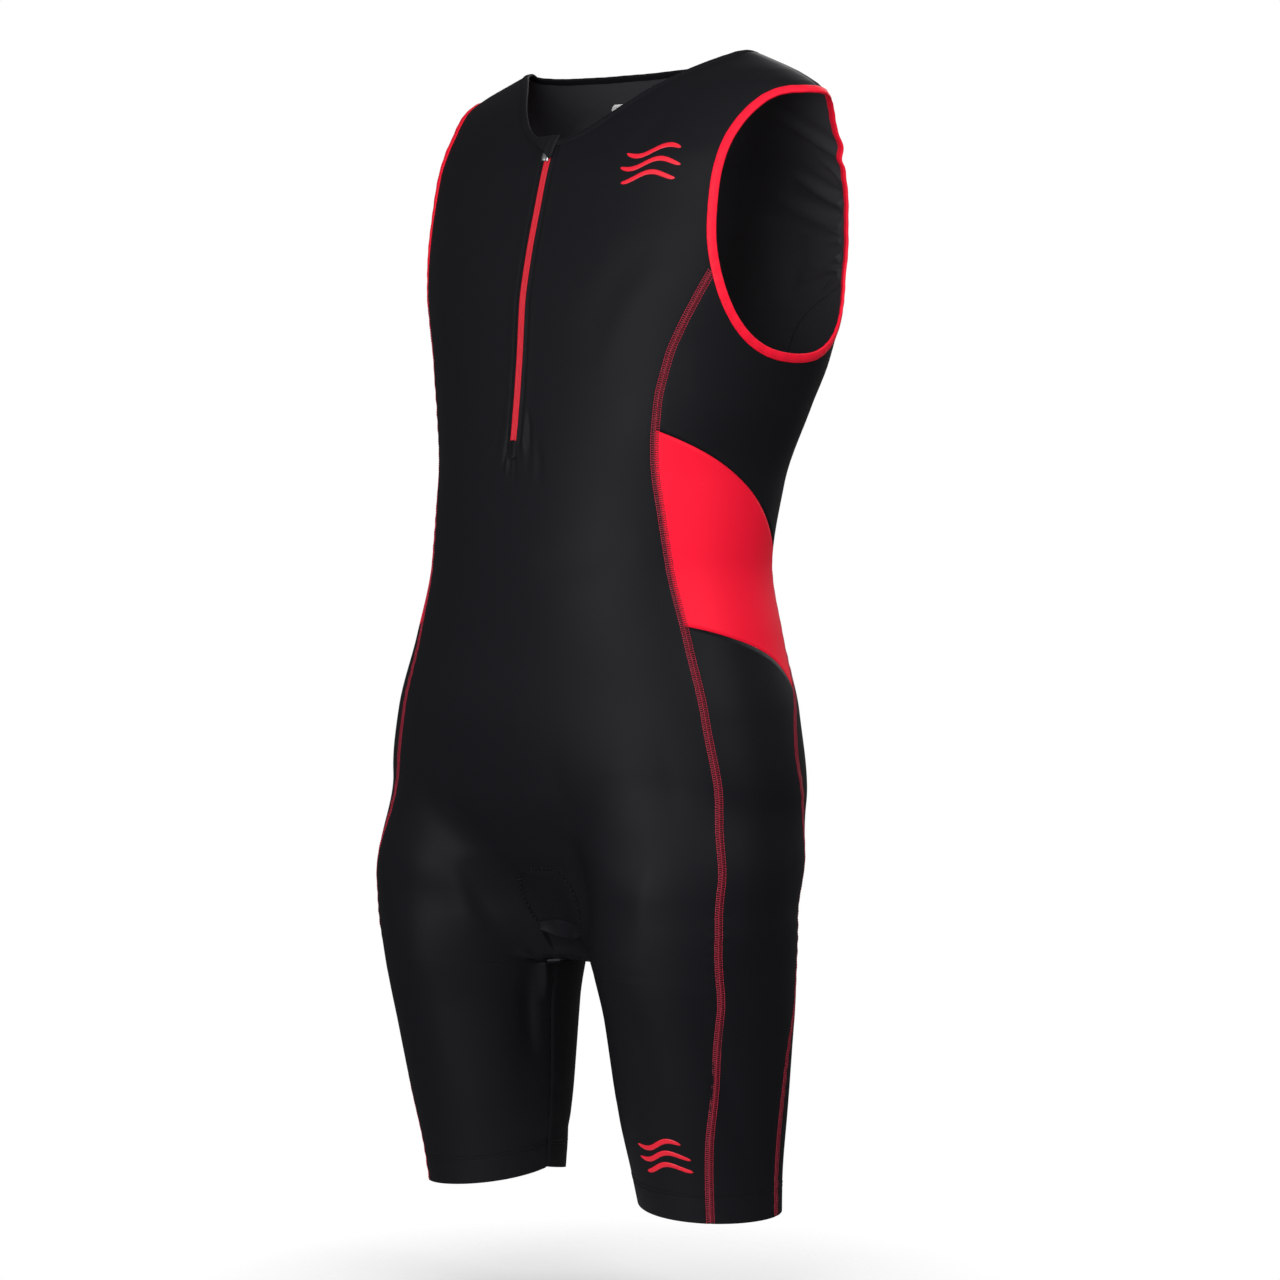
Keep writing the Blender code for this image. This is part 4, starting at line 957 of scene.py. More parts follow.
def front_grid(side):
    """One side of the front: shoulder and neckline, chest beside the zip, belly, leg."""
    upper, middle, lower = FRONT_HEIGHTS
    shoulder = across(NECK_FRONT_EDGE[:1], armhole([0.0], side), FRONT_COLUMNS)
    shoulder[0, :, 0] = widest(shoulder[0, :, 1]) - 0.5 * SEAM_GAP / ring_length(shoulder[0, :, 1])
    neck = across(NECK_FRONT_EDGE[1:], armhole(np.linspace(0, 6, NECK_ROWS + 1)[1:], side), FRONT_COLUMNS)
    edge = armhole(np.linspace(6, 10, 38)[1:-1], side)
    chest_z = np.concatenate([edge[:, 1], upper])
    right = np.concatenate([edge, inset(seam_line(FRONT_SEAM, upper, side), -1)])
    low = np.concatenate([middle, lower])
    low_z = low[(low < ZIP_END - 0.0045)]
    # the slit's lower end closes in a quarter round
    end_z = np.array([ZIP_END, ZIP_END - 0.0008, ZIP_END - 0.0018, ZIP_END - 0.0028, ZIP_END - 0.0035])
    chest_keep = chest_z[:-1]
    left = np.stack([slit_share(chest_keep), chest_keep], -1)
    close = np.sqrt(np.clip(1 - ((ZIP_END - end_z) / 0.0035) ** 2, 0, 1))
    end = np.stack([slit_share(end_z) * close, end_z], -1)
    rest = np.stack([0 * low_z, low_z], -1)
    end_right = inset(seam_line(FRONT_SEAM, end_z, side), -1)
    rest_right = inset(seam_line(FRONT_SEAM, low_z, side), -1)
    body = across(np.concatenate([left, end, rest]),
                  np.concatenate([right[:-1], end_right, rest_right]), FRONT_COLUMNS)
    seam = inset(leg_rows(FRONT_SEAM, side), -1)
    inseam = inset(np.stack([0 * seam[:, 0], seam[:, 1]], -1), 1)
    return np.concatenate([shoulder, neck, body, leg_grid(inseam, seam, FRONT_COLUMNS)])


def back_grid(side):
    """One side of the back: shoulder and neckline, blades, seat, leg."""
    upper, middle, lower = BACK_HEIGHTS
    shoulder = across(armhole([0.0], side), NECK_BACK_EDGE[:1], BACK_COLUMNS)
    shoulder[0, :, 0] = widest(shoulder[0, :, 1]) + 0.5 * SEAM_GAP / ring_length(shoulder[0, :, 1])
    neck = across(armhole(np.linspace(30, 25, NECK_ROWS + 1)[1:], side), NECK_BACK_EDGE[1:], BACK_COLUMNS)
    rows = np.linspace(25, 21, 72)[1:-1]
    edge = armhole(rows, side)
    centre_z = np.interp(rows, np.arange(21, 26), BACK_MIDDLE)
    heights = np.concatenate([upper, middle, lower])
    left = np.concatenate([edge, inset(seam_line(BACK_SEAM, heights, side), 1)])
    middle_z = np.concatenate([centre_z, heights])
    right = np.stack([0 * middle_z + 1, middle_z], -1)
    seam = inset(leg_rows(BACK_SEAM, side), 1)
    inseam = inset(np.stack([0 * seam[:, 0] + 1, seam[:, 1]], -1), -1)
    body = across(left, right, BACK_COLUMNS)
    return np.concatenate([shoulder, neck, body, leg_grid(seam, inseam, BACK_COLUMNS)])


def from_above(heights, k):
    """Heights of the k-th stretch of rows, with the last one of the stretch above put first."""
    return heights[k] if k == 0 else np.concatenate([heights[k - 1][-1:], heights[k]])


def cross_seam(table, side):
    """Points of a crosswise seam of the side, from the front seam to the back seam."""
    z = follow(table, SIDE_COLUMNS)[0]
    first = seam_share(FRONT_SEAM, table[0, 1], side)
    last = seam_share(BACK_SEAM, table[-1, 1], side)
    return np.stack([first + (last - first) * SIDE_COLUMNS, z], -1)


def side_grids(side):
    """Grids of the side's three pieces: under the arm, waist, thigh."""
    arm = armhole(FRONT_SEAM_KNOT + (BACK_SEAM_KNOT - FRONT_SEAM_KNOT) * SIDE_COLUMNS, side)
    lines = [arm, cross_seam(WAIST_TOP, side), cross_seam(WAIST_LOW, side)]
    ways = (UPPER_WAY, WAIST_WAY, THIGH_WAY)
    pieces = []
    for k in range(3):
        left = seam_line(FRONT_SEAM, from_above(FRONT_HEIGHTS, k), side)
        right = seam_line(BACK_SEAM, from_above(BACK_HEIGHTS, k), side)
        low = lines[k + 1] if k < 2 else across(left[-1:], right[-1:], SIDE_COLUMNS)[0]
        pieces.append(coons(lines[k], low, left, right, ways[k], SIDE_COLUMNS))
    leg = leg_grid(leg_rows(FRONT_SEAM, side), leg_rows(BACK_SEAM, side), SIDE_COLUMNS)
    pieces[2] = np.concatenate([pieces[2], leg])
    for k, piece in enumerate(pieces):
        piece[:, 0, :] = inset(piece[:, 0, :], 1)
        piece[:, -1, :] = inset(piece[:, -1, :], -1)
        if k > 0:
            piece[0, :, 1] -= 0.5 * SEAM_GAP
        if k < 2:
            piece[-1, :, 1] += 0.5 * SEAM_GAP
    return pieces


def as_sheet(grid, side):
    """A grid's shares, heights and side, as shell() reads them."""
    return grid[..., 0], grid[..., 1], side


# swept parts and threads


def side_vectors(points, normals, closed):
    """Unit vectors across a path: its normals crossed with its tangents, by central differences."""
    if closed:
        tangent = np.roll(points, -1, axis=0) - np.roll(points, 1, axis=0)
    else:
        tangent = np.gradient(points, axis=0)
    tangent = tangent / np.linalg.norm(tangent, axis=1, keepdims=True)
    sideways = np.cross(normals, tangent)
    return sideways / np.linalg.norm(sideways, axis=1, keepdims=True)


def swept(name, points, sideways, normals, section, closed, lift):
    """Closed profile carried along a path: point + sideways * u + normal * (v + lift)."""
    u = section[:, 0][None, :, None]
    v = section[:, 1][None, :, None] + lift[:, None, None]
    verts = points[:, None] + sideways[:, None] * u + normals[:, None] * v
    rows, columns = verts.shape[:2]
    quads = grid_quads(rows, columns, around=True, ends=closed)
    loops = quads.ravel()
    sizes = np.full(len(quads), 4)
    smooth = np.ones(len(quads), bool)
    if not closed:
        caps = np.concatenate([np.arange(columns)[::-1], (rows - 1) * columns + np.arange(columns)])
        loops = np.concatenate([loops, caps])
        sizes = np.concatenate([sizes, [columns, columns]])
        smooth = np.concatenate([smooth, [False, False]])
    run = np.concatenate([[0], np.cumsum(np.linalg.norm(np.diff(points, axis=0), axis=1))])
    girth = np.concatenate([[0], np.cumsum(np.linalg.norm(np.diff(section, axis=0), axis=1))])
    uv = np.stack(np.broadcast_arrays(girth[None, :], run[:, None]), -1).reshape(-1, 2)
    obj = fill_mesh(name, verts.reshape(-1, 3), loops, sizes, smooth, uv)
    face_outward(obj)
    return obj


def face_outward(obj):
    """Turn a closed mesh's faces over if its signed volume is negative."""
    mesh = obj.data
    mesh.calc_loop_triangles()
    corners = np.empty(len(mesh.loop_triangles) * 3, np.int32)
    mesh.loop_triangles.foreach_get("vertices", corners)
    co = np.empty(len(mesh.vertices) * 3)
    mesh.vertices.foreach_get("co", co)
    a, b, c = co.reshape(-1, 3)[corners.reshape(-1, 3)].transpose(1, 0, 2)
    if np.einsum("ij,ij->i", a, np.cross(b, c)).sum() < 0:
        mesh.flip_normals()


def rounded_section(first, last, low, high, corner, crown, steps):
    """Profile of a flat band with rounded corners. Its outer face rises by the crown in the middle."""
    parts = []
    for cu, cv, start in ((last - corner, high - corner, 0), (first + corner, high - corner, 90),
                          (first + corner, low + corner, 180), (last - corner, low + corner, 270)):
        angle = np.radians(start + np.linspace(0, 90, steps))
        parts.append(np.stack([cu + corner * np.cos(angle), cv + corner * np.sin(angle)], -1))
    top = np.linspace(1, 0, 7)[1:-1]
    span = first + corner + (last - first - 2 * corner) * top
    ridge = np.stack([span, high + crown * np.sin(math.pi * top)], -1)
    return np.concatenate([parts[0], ridge, parts[1], parts[2], parts[3]])


def thread_mesh(name, starts, ends, normals, radius, rise, rings, sides):
    """Short threads, each a closed tube from its start to its end that arches outward.

    A tube of four rings is narrower at both tips. A ring's middle is lifted by
    rise * radius * sin(pi * way).
    """
    count = len(starts)
    way = np.linspace(0, 1, rings)
    along = ends - starts
    long = np.linalg.norm(along, axis=1, keepdims=True)
    tangent = along / np.maximum(long, 1e-9)
    side = np.cross(normals, tangent)
    side = side / np.maximum(np.linalg.norm(side, axis=1, keepdims=True), 1e-9)
    up = np.cross(tangent, side)
    fat = radius * np.array([0.45, 1.0, 1.0, 0.45]) if rings == 4 else radius * np.ones(rings)
    centre = (starts[:, None] + along[:, None] * way[None, :, None]
              + up[:, None] * (rise * radius * np.sin(math.pi * way))[None, :, None])
    angle = np.linspace(0, 2 * math.pi, sides, endpoint=False)
    ring = (side[:, None, None] * np.cos(angle)[None, None, :, None]
            + up[:, None, None] * np.sin(angle)[None, None, :, None]) * fat[None, :, None, None]
    verts = (centre[:, :, None] + ring).reshape(-1, 3)
    quads = grid_quads(rings, sides, around=True)
    caps = np.stack([np.arange(sides)[::-1], (rings - 1) * sides + np.arange(sides)])
    base = (np.arange(count) * rings * sides)[:, None]
    all_quads = (base[:, :, None] + quads[None]).reshape(-1, 4)
    all_caps = (base[:, :, None] + caps[None]).reshape(-1, sides)
    loops = np.concatenate([all_quads.ravel(), all_caps.ravel()])
    sizes = np.concatenate([np.full(len(all_quads), 4), np.full(len(all_caps), sides)])
    obj = fill_mesh(name, verts, loops, sizes, np.ones(len(sizes), bool))
    face_outward(obj)
    return obj


def evenly(points, pitch, extra=()):
    """Points every `pitch` along a path, with the extra arrays read at the same places."""
    run = np.concatenate([[0], np.cumsum(np.linalg.norm(np.diff(points, axis=0), axis=1))])
    at = np.arange(0.5 * pitch, run[-1], pitch)
    out = []
    for values in (points, *extra):
        out.append(np.stack([np.interp(at, run, values[:, k]) for k in range(values.shape[1])], -1))
    return out


def row_threads(points, normals, offset, pitch, gap, lift):
    """Starts, ends and normals of a line of stitches beside a path, each pitch less a gap long."""
    sideways = side_vectors(points, normals, False)
    line = points + sideways * offset + normals * lift
    at, normal = evenly(line, pitch, (normals,))
    tangent = np.gradient(at, axis=0)
    tangent /= np.linalg.norm(tangent, axis=1, keepdims=True)
    half = tangent * (pitch - gap) / 2
    return at - half, at + half, normal / np.linalg.norm(normal, axis=1, keepdims=True)


def zigzag_threads(points, normals, half, pitch, lift):
    """Starts, ends and normals of a zigzag that crosses a seam, half a width to either side."""
    sideways = side_vectors(points, normals, False)
    at, normal, side = evenly(points, pitch, (normals, sideways))
    swing = np.where(np.arange(len(at)) % 2 == 0, half, -half)[:, None]
    corners = at + side * swing + normal * lift
    return corners[:-1], corners[1:], normal[:-1] / np.linalg.norm(normal[:-1], axis=1, keepdims=True)


def joined(rows):
    """Rows of (starts, ends, normals) put end to end."""
    return [np.concatenate(part) for part in zip(*rows)]


# materials


def plain_material(name, colour, roughness, metallic=0.0, specular=0.4):
    """Principled material with its uniform values set on the sockets."""
    material = bpy.data.materials.new(name)
    material.use_nodes = True
    shader = material.node_tree.nodes["Principled BSDF"]
    shader.inputs["Base Color"].default_value = (*colour, 1.0)
    shader.inputs["Roughness"].default_value = roughness
    shader.inputs["Metallic"].default_value = metallic
    shader.inputs["Specular IOR Level"].default_value = specular
    return material


def wire(tree, start, socket, end, into):
    """Link a node's output socket to another node's input socket."""
    tree.links.new(start.outputs[socket], end.inputs[into])


def scaled(tree, source, socket, factor, offset=0.0):
    """Node that gives factor * value + offset."""
    node = tree.nodes.new("ShaderNodeMath")
    node.operation = "MULTIPLY_ADD"
    wire(tree, source, socket, node, 0)
    node.inputs[1].default_value = factor
    node.inputs[2].default_value = offset
    return node


# a band texture of scale s repeats s / 0.314 times in a metre
BANDS_PER_METRE = 0.314


def knit_material(name, colour, roughness, specular, rib, bump, mottle=0.12):
    """Fine knit: ribs across the UV metres as bump, with soft noise in colour and roughness."""
    material = plain_material(name, colour, roughness, 0.0, specular)
    tree = material.node_tree
    shader = tree.nodes["Principled BSDF"]
    coords = tree.nodes.new("ShaderNodeTexCoord")
    ribs = tree.nodes.new("ShaderNodeTexWave")
    ribs.wave_type = "BANDS"
    ribs.bands_direction = "X"
    ribs.inputs["Scale"].default_value = BANDS_PER_METRE / rib
    ribs.inputs["Distortion"].default_value = 0.6
    ribs.inputs["Detail"].default_value = 1.0
    wire(tree, coords, "UV", ribs, "Vector")
    cloud = tree.nodes.new("ShaderNodeTexNoise")
    cloud.inputs["Scale"].default_value = 900.0
    cloud.inputs["Detail"].default_value = 3.0
    wire(tree, coords, "Object", cloud, "Vector")
    drift = tree.nodes.new("ShaderNodeTexNoise")
    drift.inputs["Scale"].default_value = 14.0
    drift.inputs["Detail"].default_value = 2.0
    wire(tree, coords, "Object", drift, "Vector")
    mixed = tree.nodes.new("ShaderNodeMath")
    mixed.operation = "ADD"
    wire(tree, scaled(tree, ribs, "Fac", 0.6), 0, mixed, 0)
    wire(tree, scaled(tree, cloud, "Fac", 0.8), 0, mixed, 1)
    relief_node = tree.nodes.new("ShaderNodeBump")
    relief_node.inputs["Strength"].default_value = bump
    relief_node.inputs["Distance"].default_value = 0.0003
    wire(tree, mixed, 0, relief_node, "Height")
    wire(tree, relief_node, "Normal", shader, "Normal")
    shade = tree.nodes.new("ShaderNodeMix")
    shade.data_type = "RGBA"
    shade.inputs["A"].default_value = (*(c * (1 - mottle) for c in colour), 1.0)
    shade.inputs["B"].default_value = (*(min(c * (1 + mottle), 1.0) for c in colour), 1.0)
    wire(tree, cloud, "Fac", shade, "Factor")
    wire(tree, shade, "Result", shader, "Base Color")
    wire(tree, scaled(tree, drift, "Fac", 0.12, roughness - 0.06), 0, shader, "Roughness")
    return material


# settings


class SuitCloth(bpy.types.PropertyGroup):
    """Colours and folds of the cut pieces."""

    black: bpy.props.FloatVectorProperty(
        name="Black cloth", description="Colour of the satin knit", subtype="COLOR", size=3,
        min=0.0, max=1.0, default=(0.0068, 0.0070, 0.0090))
    matte: bpy.props.FloatVectorProperty(
        name="Matte black cloth", description="Colour of the back", subtype="COLOR", size=3,
        min=0.0, max=1.0, default=(0.0066, 0.0066, 0.0082))
    # inner face: a colour several times lighter than the black cloth, painted light that stands in for
    # the light the lamps hardly bring inside the suit
    inside: bpy.props.FloatVectorProperty(
        name="Inner face", description="Colour of the cloth's inner face", subtype="COLOR", size=3,
        min=0.0, max=1.0, default=(0.0440, 0.0425, 0.0490))
    red: bpy.props.FloatVectorProperty(
        name="Red cloth", description="Colour of the waist sides and armhole bindings", subtype="COLOR",
        size=3, min=0.0, max=1.0, default=(0.95, 0.0090, 0.036))
    roughness: bpy.props.FloatProperty(
        name="Roughness", description="Roughness of the satin knit", default=0.55, min=0.0, max=1.0)
    folds: bpy.props.FloatProperty(
        name="Fold depth", description="Scale of every soft trough and ridge", default=1.0,
        min=0.0, max=2.0)


class SuitTrims(bpy.types.PropertyGroup):
    """Threads, bindings, zip and small trims."""

    thread: bpy.props.FloatVectorProperty(
        name="Seam thread", description="Colour of the cover stitches", subtype="COLOR", size=3,
        min=0.0, max=1.0, default=(0.24, 0.009, 0.026))
    needle: bpy.props.FloatVectorProperty(
        name="Needle thread", description="Colour of the needle rows", subtype="COLOR", size=3,
        min=0.0, max=1.0, default=(0.46, 0.018, 0.050))
    seam_half: bpy.props.FloatProperty(
        name="Seam half width", description="Half the width of the cover stitch", default=0.0031,
        min=0.001, max=0.008, unit="LENGTH", precision=4)
    thread_radius: bpy.props.FloatProperty(
        name="Thread radius", description="Radius of the seam threads", default=0.00028,
        min=0.0001, max=0.001, unit="LENGTH", precision=5)
    binding: bpy.props.FloatProperty(
        name="Binding width", description="Width of the armhole bindings", default=0.0064,
        min=0.003, max=0.012, unit="LENGTH", precision=4)
    motif: bpy.props.FloatProperty(
        name="Motif radius", description="Radius of the circle that clips the wave motif",
        default=0.0255, min=0.01, max=0.05, unit="LENGTH", precision=4)


class SuitStage(bpy.types.PropertyGroup):
    """Camera and light."""

    azimuth: bpy.props.FloatProperty(
        name="Azimuth", description="Turn of the camera from the front toward the wearer's left",
        default=math.radians(40.6), subtype="ANGLE")
    elevation: bpy.props.FloatProperty(
        name="Elevation", description="Height of the camera above the horizon",
        default=math.radians(1.6), subtype="ANGLE")
    distance: bpy.props.FloatProperty(
        name="Distance", description="From the camera to the aim point", default=2.9, min=0.5, max=10.0,
        unit="LENGTH")
    lens: bpy.props.FloatProperty(
        name="Lens", description="Focal length over a 36 mm sensor", default=102.43, min=20.0, max=300.0)
    key: bpy.props.FloatProperty(
        name="Key light", description="Power in watts that each lamp's share multiplies", default=34.0,
        min=0.0)
    backdrop: bpy.props.FloatProperty(
        name="Backdrop", description="Brightness seen behind the suit", default=1.0, min=0.0, max=2.0)


# operators


class SUIT_OT_cloth(bpy.types.Operator):
    """Cut pieces of the suit: front, back, under-arm sides, waist sides and thigh sides"""

    bl_idname = "suit.cloth"
    bl_label = "Cloth pieces"

    def execute(self, context):
        s = context.scene.suit_cloth
        # the inner faces take the lightened inside colour: painted light for the inside of the suit,
        # which the lamps barely reach
        within = knit_material("knit_inside_painted_light", s.inside, 0.66, 0.22, 0.0009, 0.14)
        satin = (knit_material("satin_knit", s.black, s.roughness, 0.10, 0.0007, 0.10), within)
        matte = (knit_material("matte_knit", s.matte, 0.68, 0.10, 0.0009, 0.16), within)
        red = (knit_material("red_knit", s.red, 0.55, 0.10, 0.0007, 0.08, 0.04), within)
        front = shell("front_cloth", [as_sheet(front_grid(side), side) for side in (1, -1)])
        dress(front, satin, "black_fabric", "front")
        back = shell("back_cloth", [as_sheet(back_grid(side)[:, ::-1], side) for side in (1, -1)])
        dress(back, matte, "black_matte_fabric", "back")
        for side, letter in ((1, "L"), (-1, "R")):
            for kind, grid in zip(("upper", "waist", "thigh"), side_grids(side)):
                node = "side_%s_%s" % (kind, letter)
                piece = shell(node + "_cloth", [as_sheet(grid, side)])
                if kind == "waist":
                    dress(piece, red, "red_fabric", node)
                else:
                    dress(piece, satin, "black_fabric", node)
        return {"FINISHED"}


def armhole_path(side):
    """Edge points and normals of the armhole, down the front, under the arm and up the back."""
    path = armhole(np.linspace(0, len(ARMHOLE), 480, endpoint=False), side)
    p, n = cloth(path[:, 0], path[:, 1], side)
    return settle(p, True), settle(n, True)


def settle(values, closed):
    """Values along a path, eased by a three-point mean applied three times."""
    for _ in range(3):
        if closed:
            values = 0.25 * np.roll(values, 1, axis=0) + 0.5 * values + 0.25 * np.roll(values, -1, axis=0)
        else:
            inner = 0.25 * values[:-2] + 0.5 * values[1:-1] + 0.25 * values[2:]
            values = np.concatenate([values[:1], inner, values[-1:]])
    return values


def neck_path():
    """Edge points and normals of the neckline, from front middle round the back and forward again."""
    neck = np.concatenate([NECK_FRONT_EDGE[::-1], NECK_BACK_EDGE[1:]])
    p, n = cloth(neck[:, 0], neck[:, 1], 1)
    flip = np.array([-1, 1, 1])
    p = np.concatenate([p, (p * flip)[-2::-1]])
    n = np.concatenate([n, (n * flip)[-2::-1]])
    return settle(p, False), settle(n, False)


def toward(points, normals, closed):
    """Unit vectors across a path that point into the opening it goes round."""
    sideways = side_vectors(points, normals, closed)
    if (sideways * (points.mean(0) - points)).sum(1).mean() < 0:
        sideways = -sideways
    return sideways


# finished width of the neck binding
NECK_BINDING = 0.0052


class SUIT_OT_bindings(bpy.types.Operator):
    """Folded bands round the armholes and the neck, each with its row of stitches"""

    bl_idname = "suit.bindings"
    bl_label = "Bindings"

    def execute(self, context):
        s = context.scene.suit_cloth
        t = context.scene.suit_trims
        red = knit_material("binding_red", s.red, 0.50, 0.15, 0.0008, 0.12, 0.05)
        black = knit_material("binding_black", s.black, 0.72, 0.09, 0.0008, 0.12)
        red_thread = plain_material("binding_thread_red", (0.62, 0.012, 0.030), 0.5)
        black_thread = plain_material("binding_thread_black", (0.006, 0.006, 0.007), 0.5, specular=0.2)
        jobs = [("armhole_binding_" + letter, armhole_path(side), True, t.binding, red, red_thread,
                 "red_fabric") for side, letter in ((1, "L"), (-1, "R"))]
        jobs.append(("neck_binding", neck_path(), False, NECK_BINDING, black, black_thread,
                     "black_fabric"))
        for node, (p, n), closed, wide, material, thread, slot in jobs:
            sideways = toward(p, n, closed)
            section = rounded_section(first=-0.0010, last=wide, low=-0.0017, high=0.0007,
                                      corner=0.0010, crown=0.0004, steps=5)
            run = np.concatenate([[0], np.cumsum(np.linalg.norm(np.diff(p, axis=0), axis=1))])
            lift = 0.00012 * np.sin(run / 0.0021 + 2 * np.sin(run * 31)) + 0.0001 * np.sin(run * 150)
            piece = swept(node + "_cloth", p, sideways, n, section, closed, lift)
            dress(piece, material, slot, node)
            loop = np.concatenate([p, p[:1]]) if closed else p
            normal = np.concatenate([n, n[:1]]) if closed else n
            across_path = np.concatenate([sideways, sideways[:1]]) if closed else sideways
            line = loop + across_path * 0.0012 + normal * 0.00085
            rows = row_threads(line, normal, 0.0, 0.0028, 0.0006, 0.0)
            stitches = thread_mesh(node + "_stitches", *rows, 0.00022, 0.4, 3, 4)
            dress(stitches, thread, slot)
        return {"FINISHED"}


def strip(x0, x1, z, columns):
    """Grid of front points from x0 to x1 along the ring, one row per height, and their sides."""
    way = np.linspace(0, 1, columns)[None, :]
    x = np.asarray(x0)[:, None] * (1 - way) + np.asarray(x1)[:, None] * way
    return x, np.broadcast_to(z[:, None], x.shape)


def front_points(x, z, out=0.0):
    """Points and normals of the cloth's face near the front middle, x in metres along the ring."""
    share = np.abs(x) / ring_length(z)
    left, left_n = cloth(share, z, 1, out)
    flip = np.where(x < 0, -1.0, 1.0)[..., None] * np.array([1, 0, 0]) + np.array([0, 1, 1])
    return left * flip, left_n * flip


def plate(name, x, z, low, high):
    """Closed plate over the front: grid of points lifted by `high`, walls down to `low`."""
    p, n = front_points(x, z)
    low = np.broadcast_to(low, x.shape)
    high = np.broadcast_to(high, x.shape)
    top = (p + n * high[..., None]).reshape(-1, 3)
    base = (p + n * low[..., None]).reshape(-1, 3)
    rows, columns = x.shape
    count = rows * columns
    quads = grid_quads(rows, columns)
    index = np.arange(count).reshape(rows, columns)
    rim = np.concatenate([index[0, :-1], index[:-1, -1], index[-1, :0:-1], index[:0:-1, 0]])
    a = rim
    b = np.roll(rim, -1)
    walls = np.stack([a, b, b + count, a + count], -1)
    faces = np.concatenate([quads, quads[:, ::-1] + count, walls[:, ::-1]])
    smooth = np.concatenate([np.ones(2 * len(quads), bool), np.zeros(len(walls), bool)])
    uv = np.stack([x, z], -1).reshape(-1, 2)
    obj = fill_mesh(name, np.concatenate([top, base]), faces.ravel(), np.full(len(faces), 4), smooth,
                    np.concatenate([uv, uv]))
    face_outward(obj)
    return obj


# edges of the flap over the zip's top: heights, ways from the middle
FLAP_LEFT = ((-0.0856, -0.0846, -0.0826, -0.0790, -0.0745, -0.0718, -0.0690, -0.0664),
             (0.0014, 0.0002, -0.0022, -0.0078, -0.0152, -0.0188, -0.0198, -0.0190))
FLAP_RIGHT = ((-0.0856, -0.0846, -0.0826, -0.0664), (0.0030, 0.0040, 0.0046, 0.0048))
# the flap's top and its length, the slider's middle and half sizes, the stop's ends and half width
FLAP_TOP = -0.0664
FLAP_LENGTH = 0.0192
SLIDER_X = -0.0026
SLIDER_Z = -0.0827
SLIDER_HALF_WIDTH = 0.0042
SLIDER_HALF_LENGTH = 0.0046
STOP_TOP = -0.3068
STOP_LOW = -0.3215
STOP_HALF_WIDTH = 0.0037


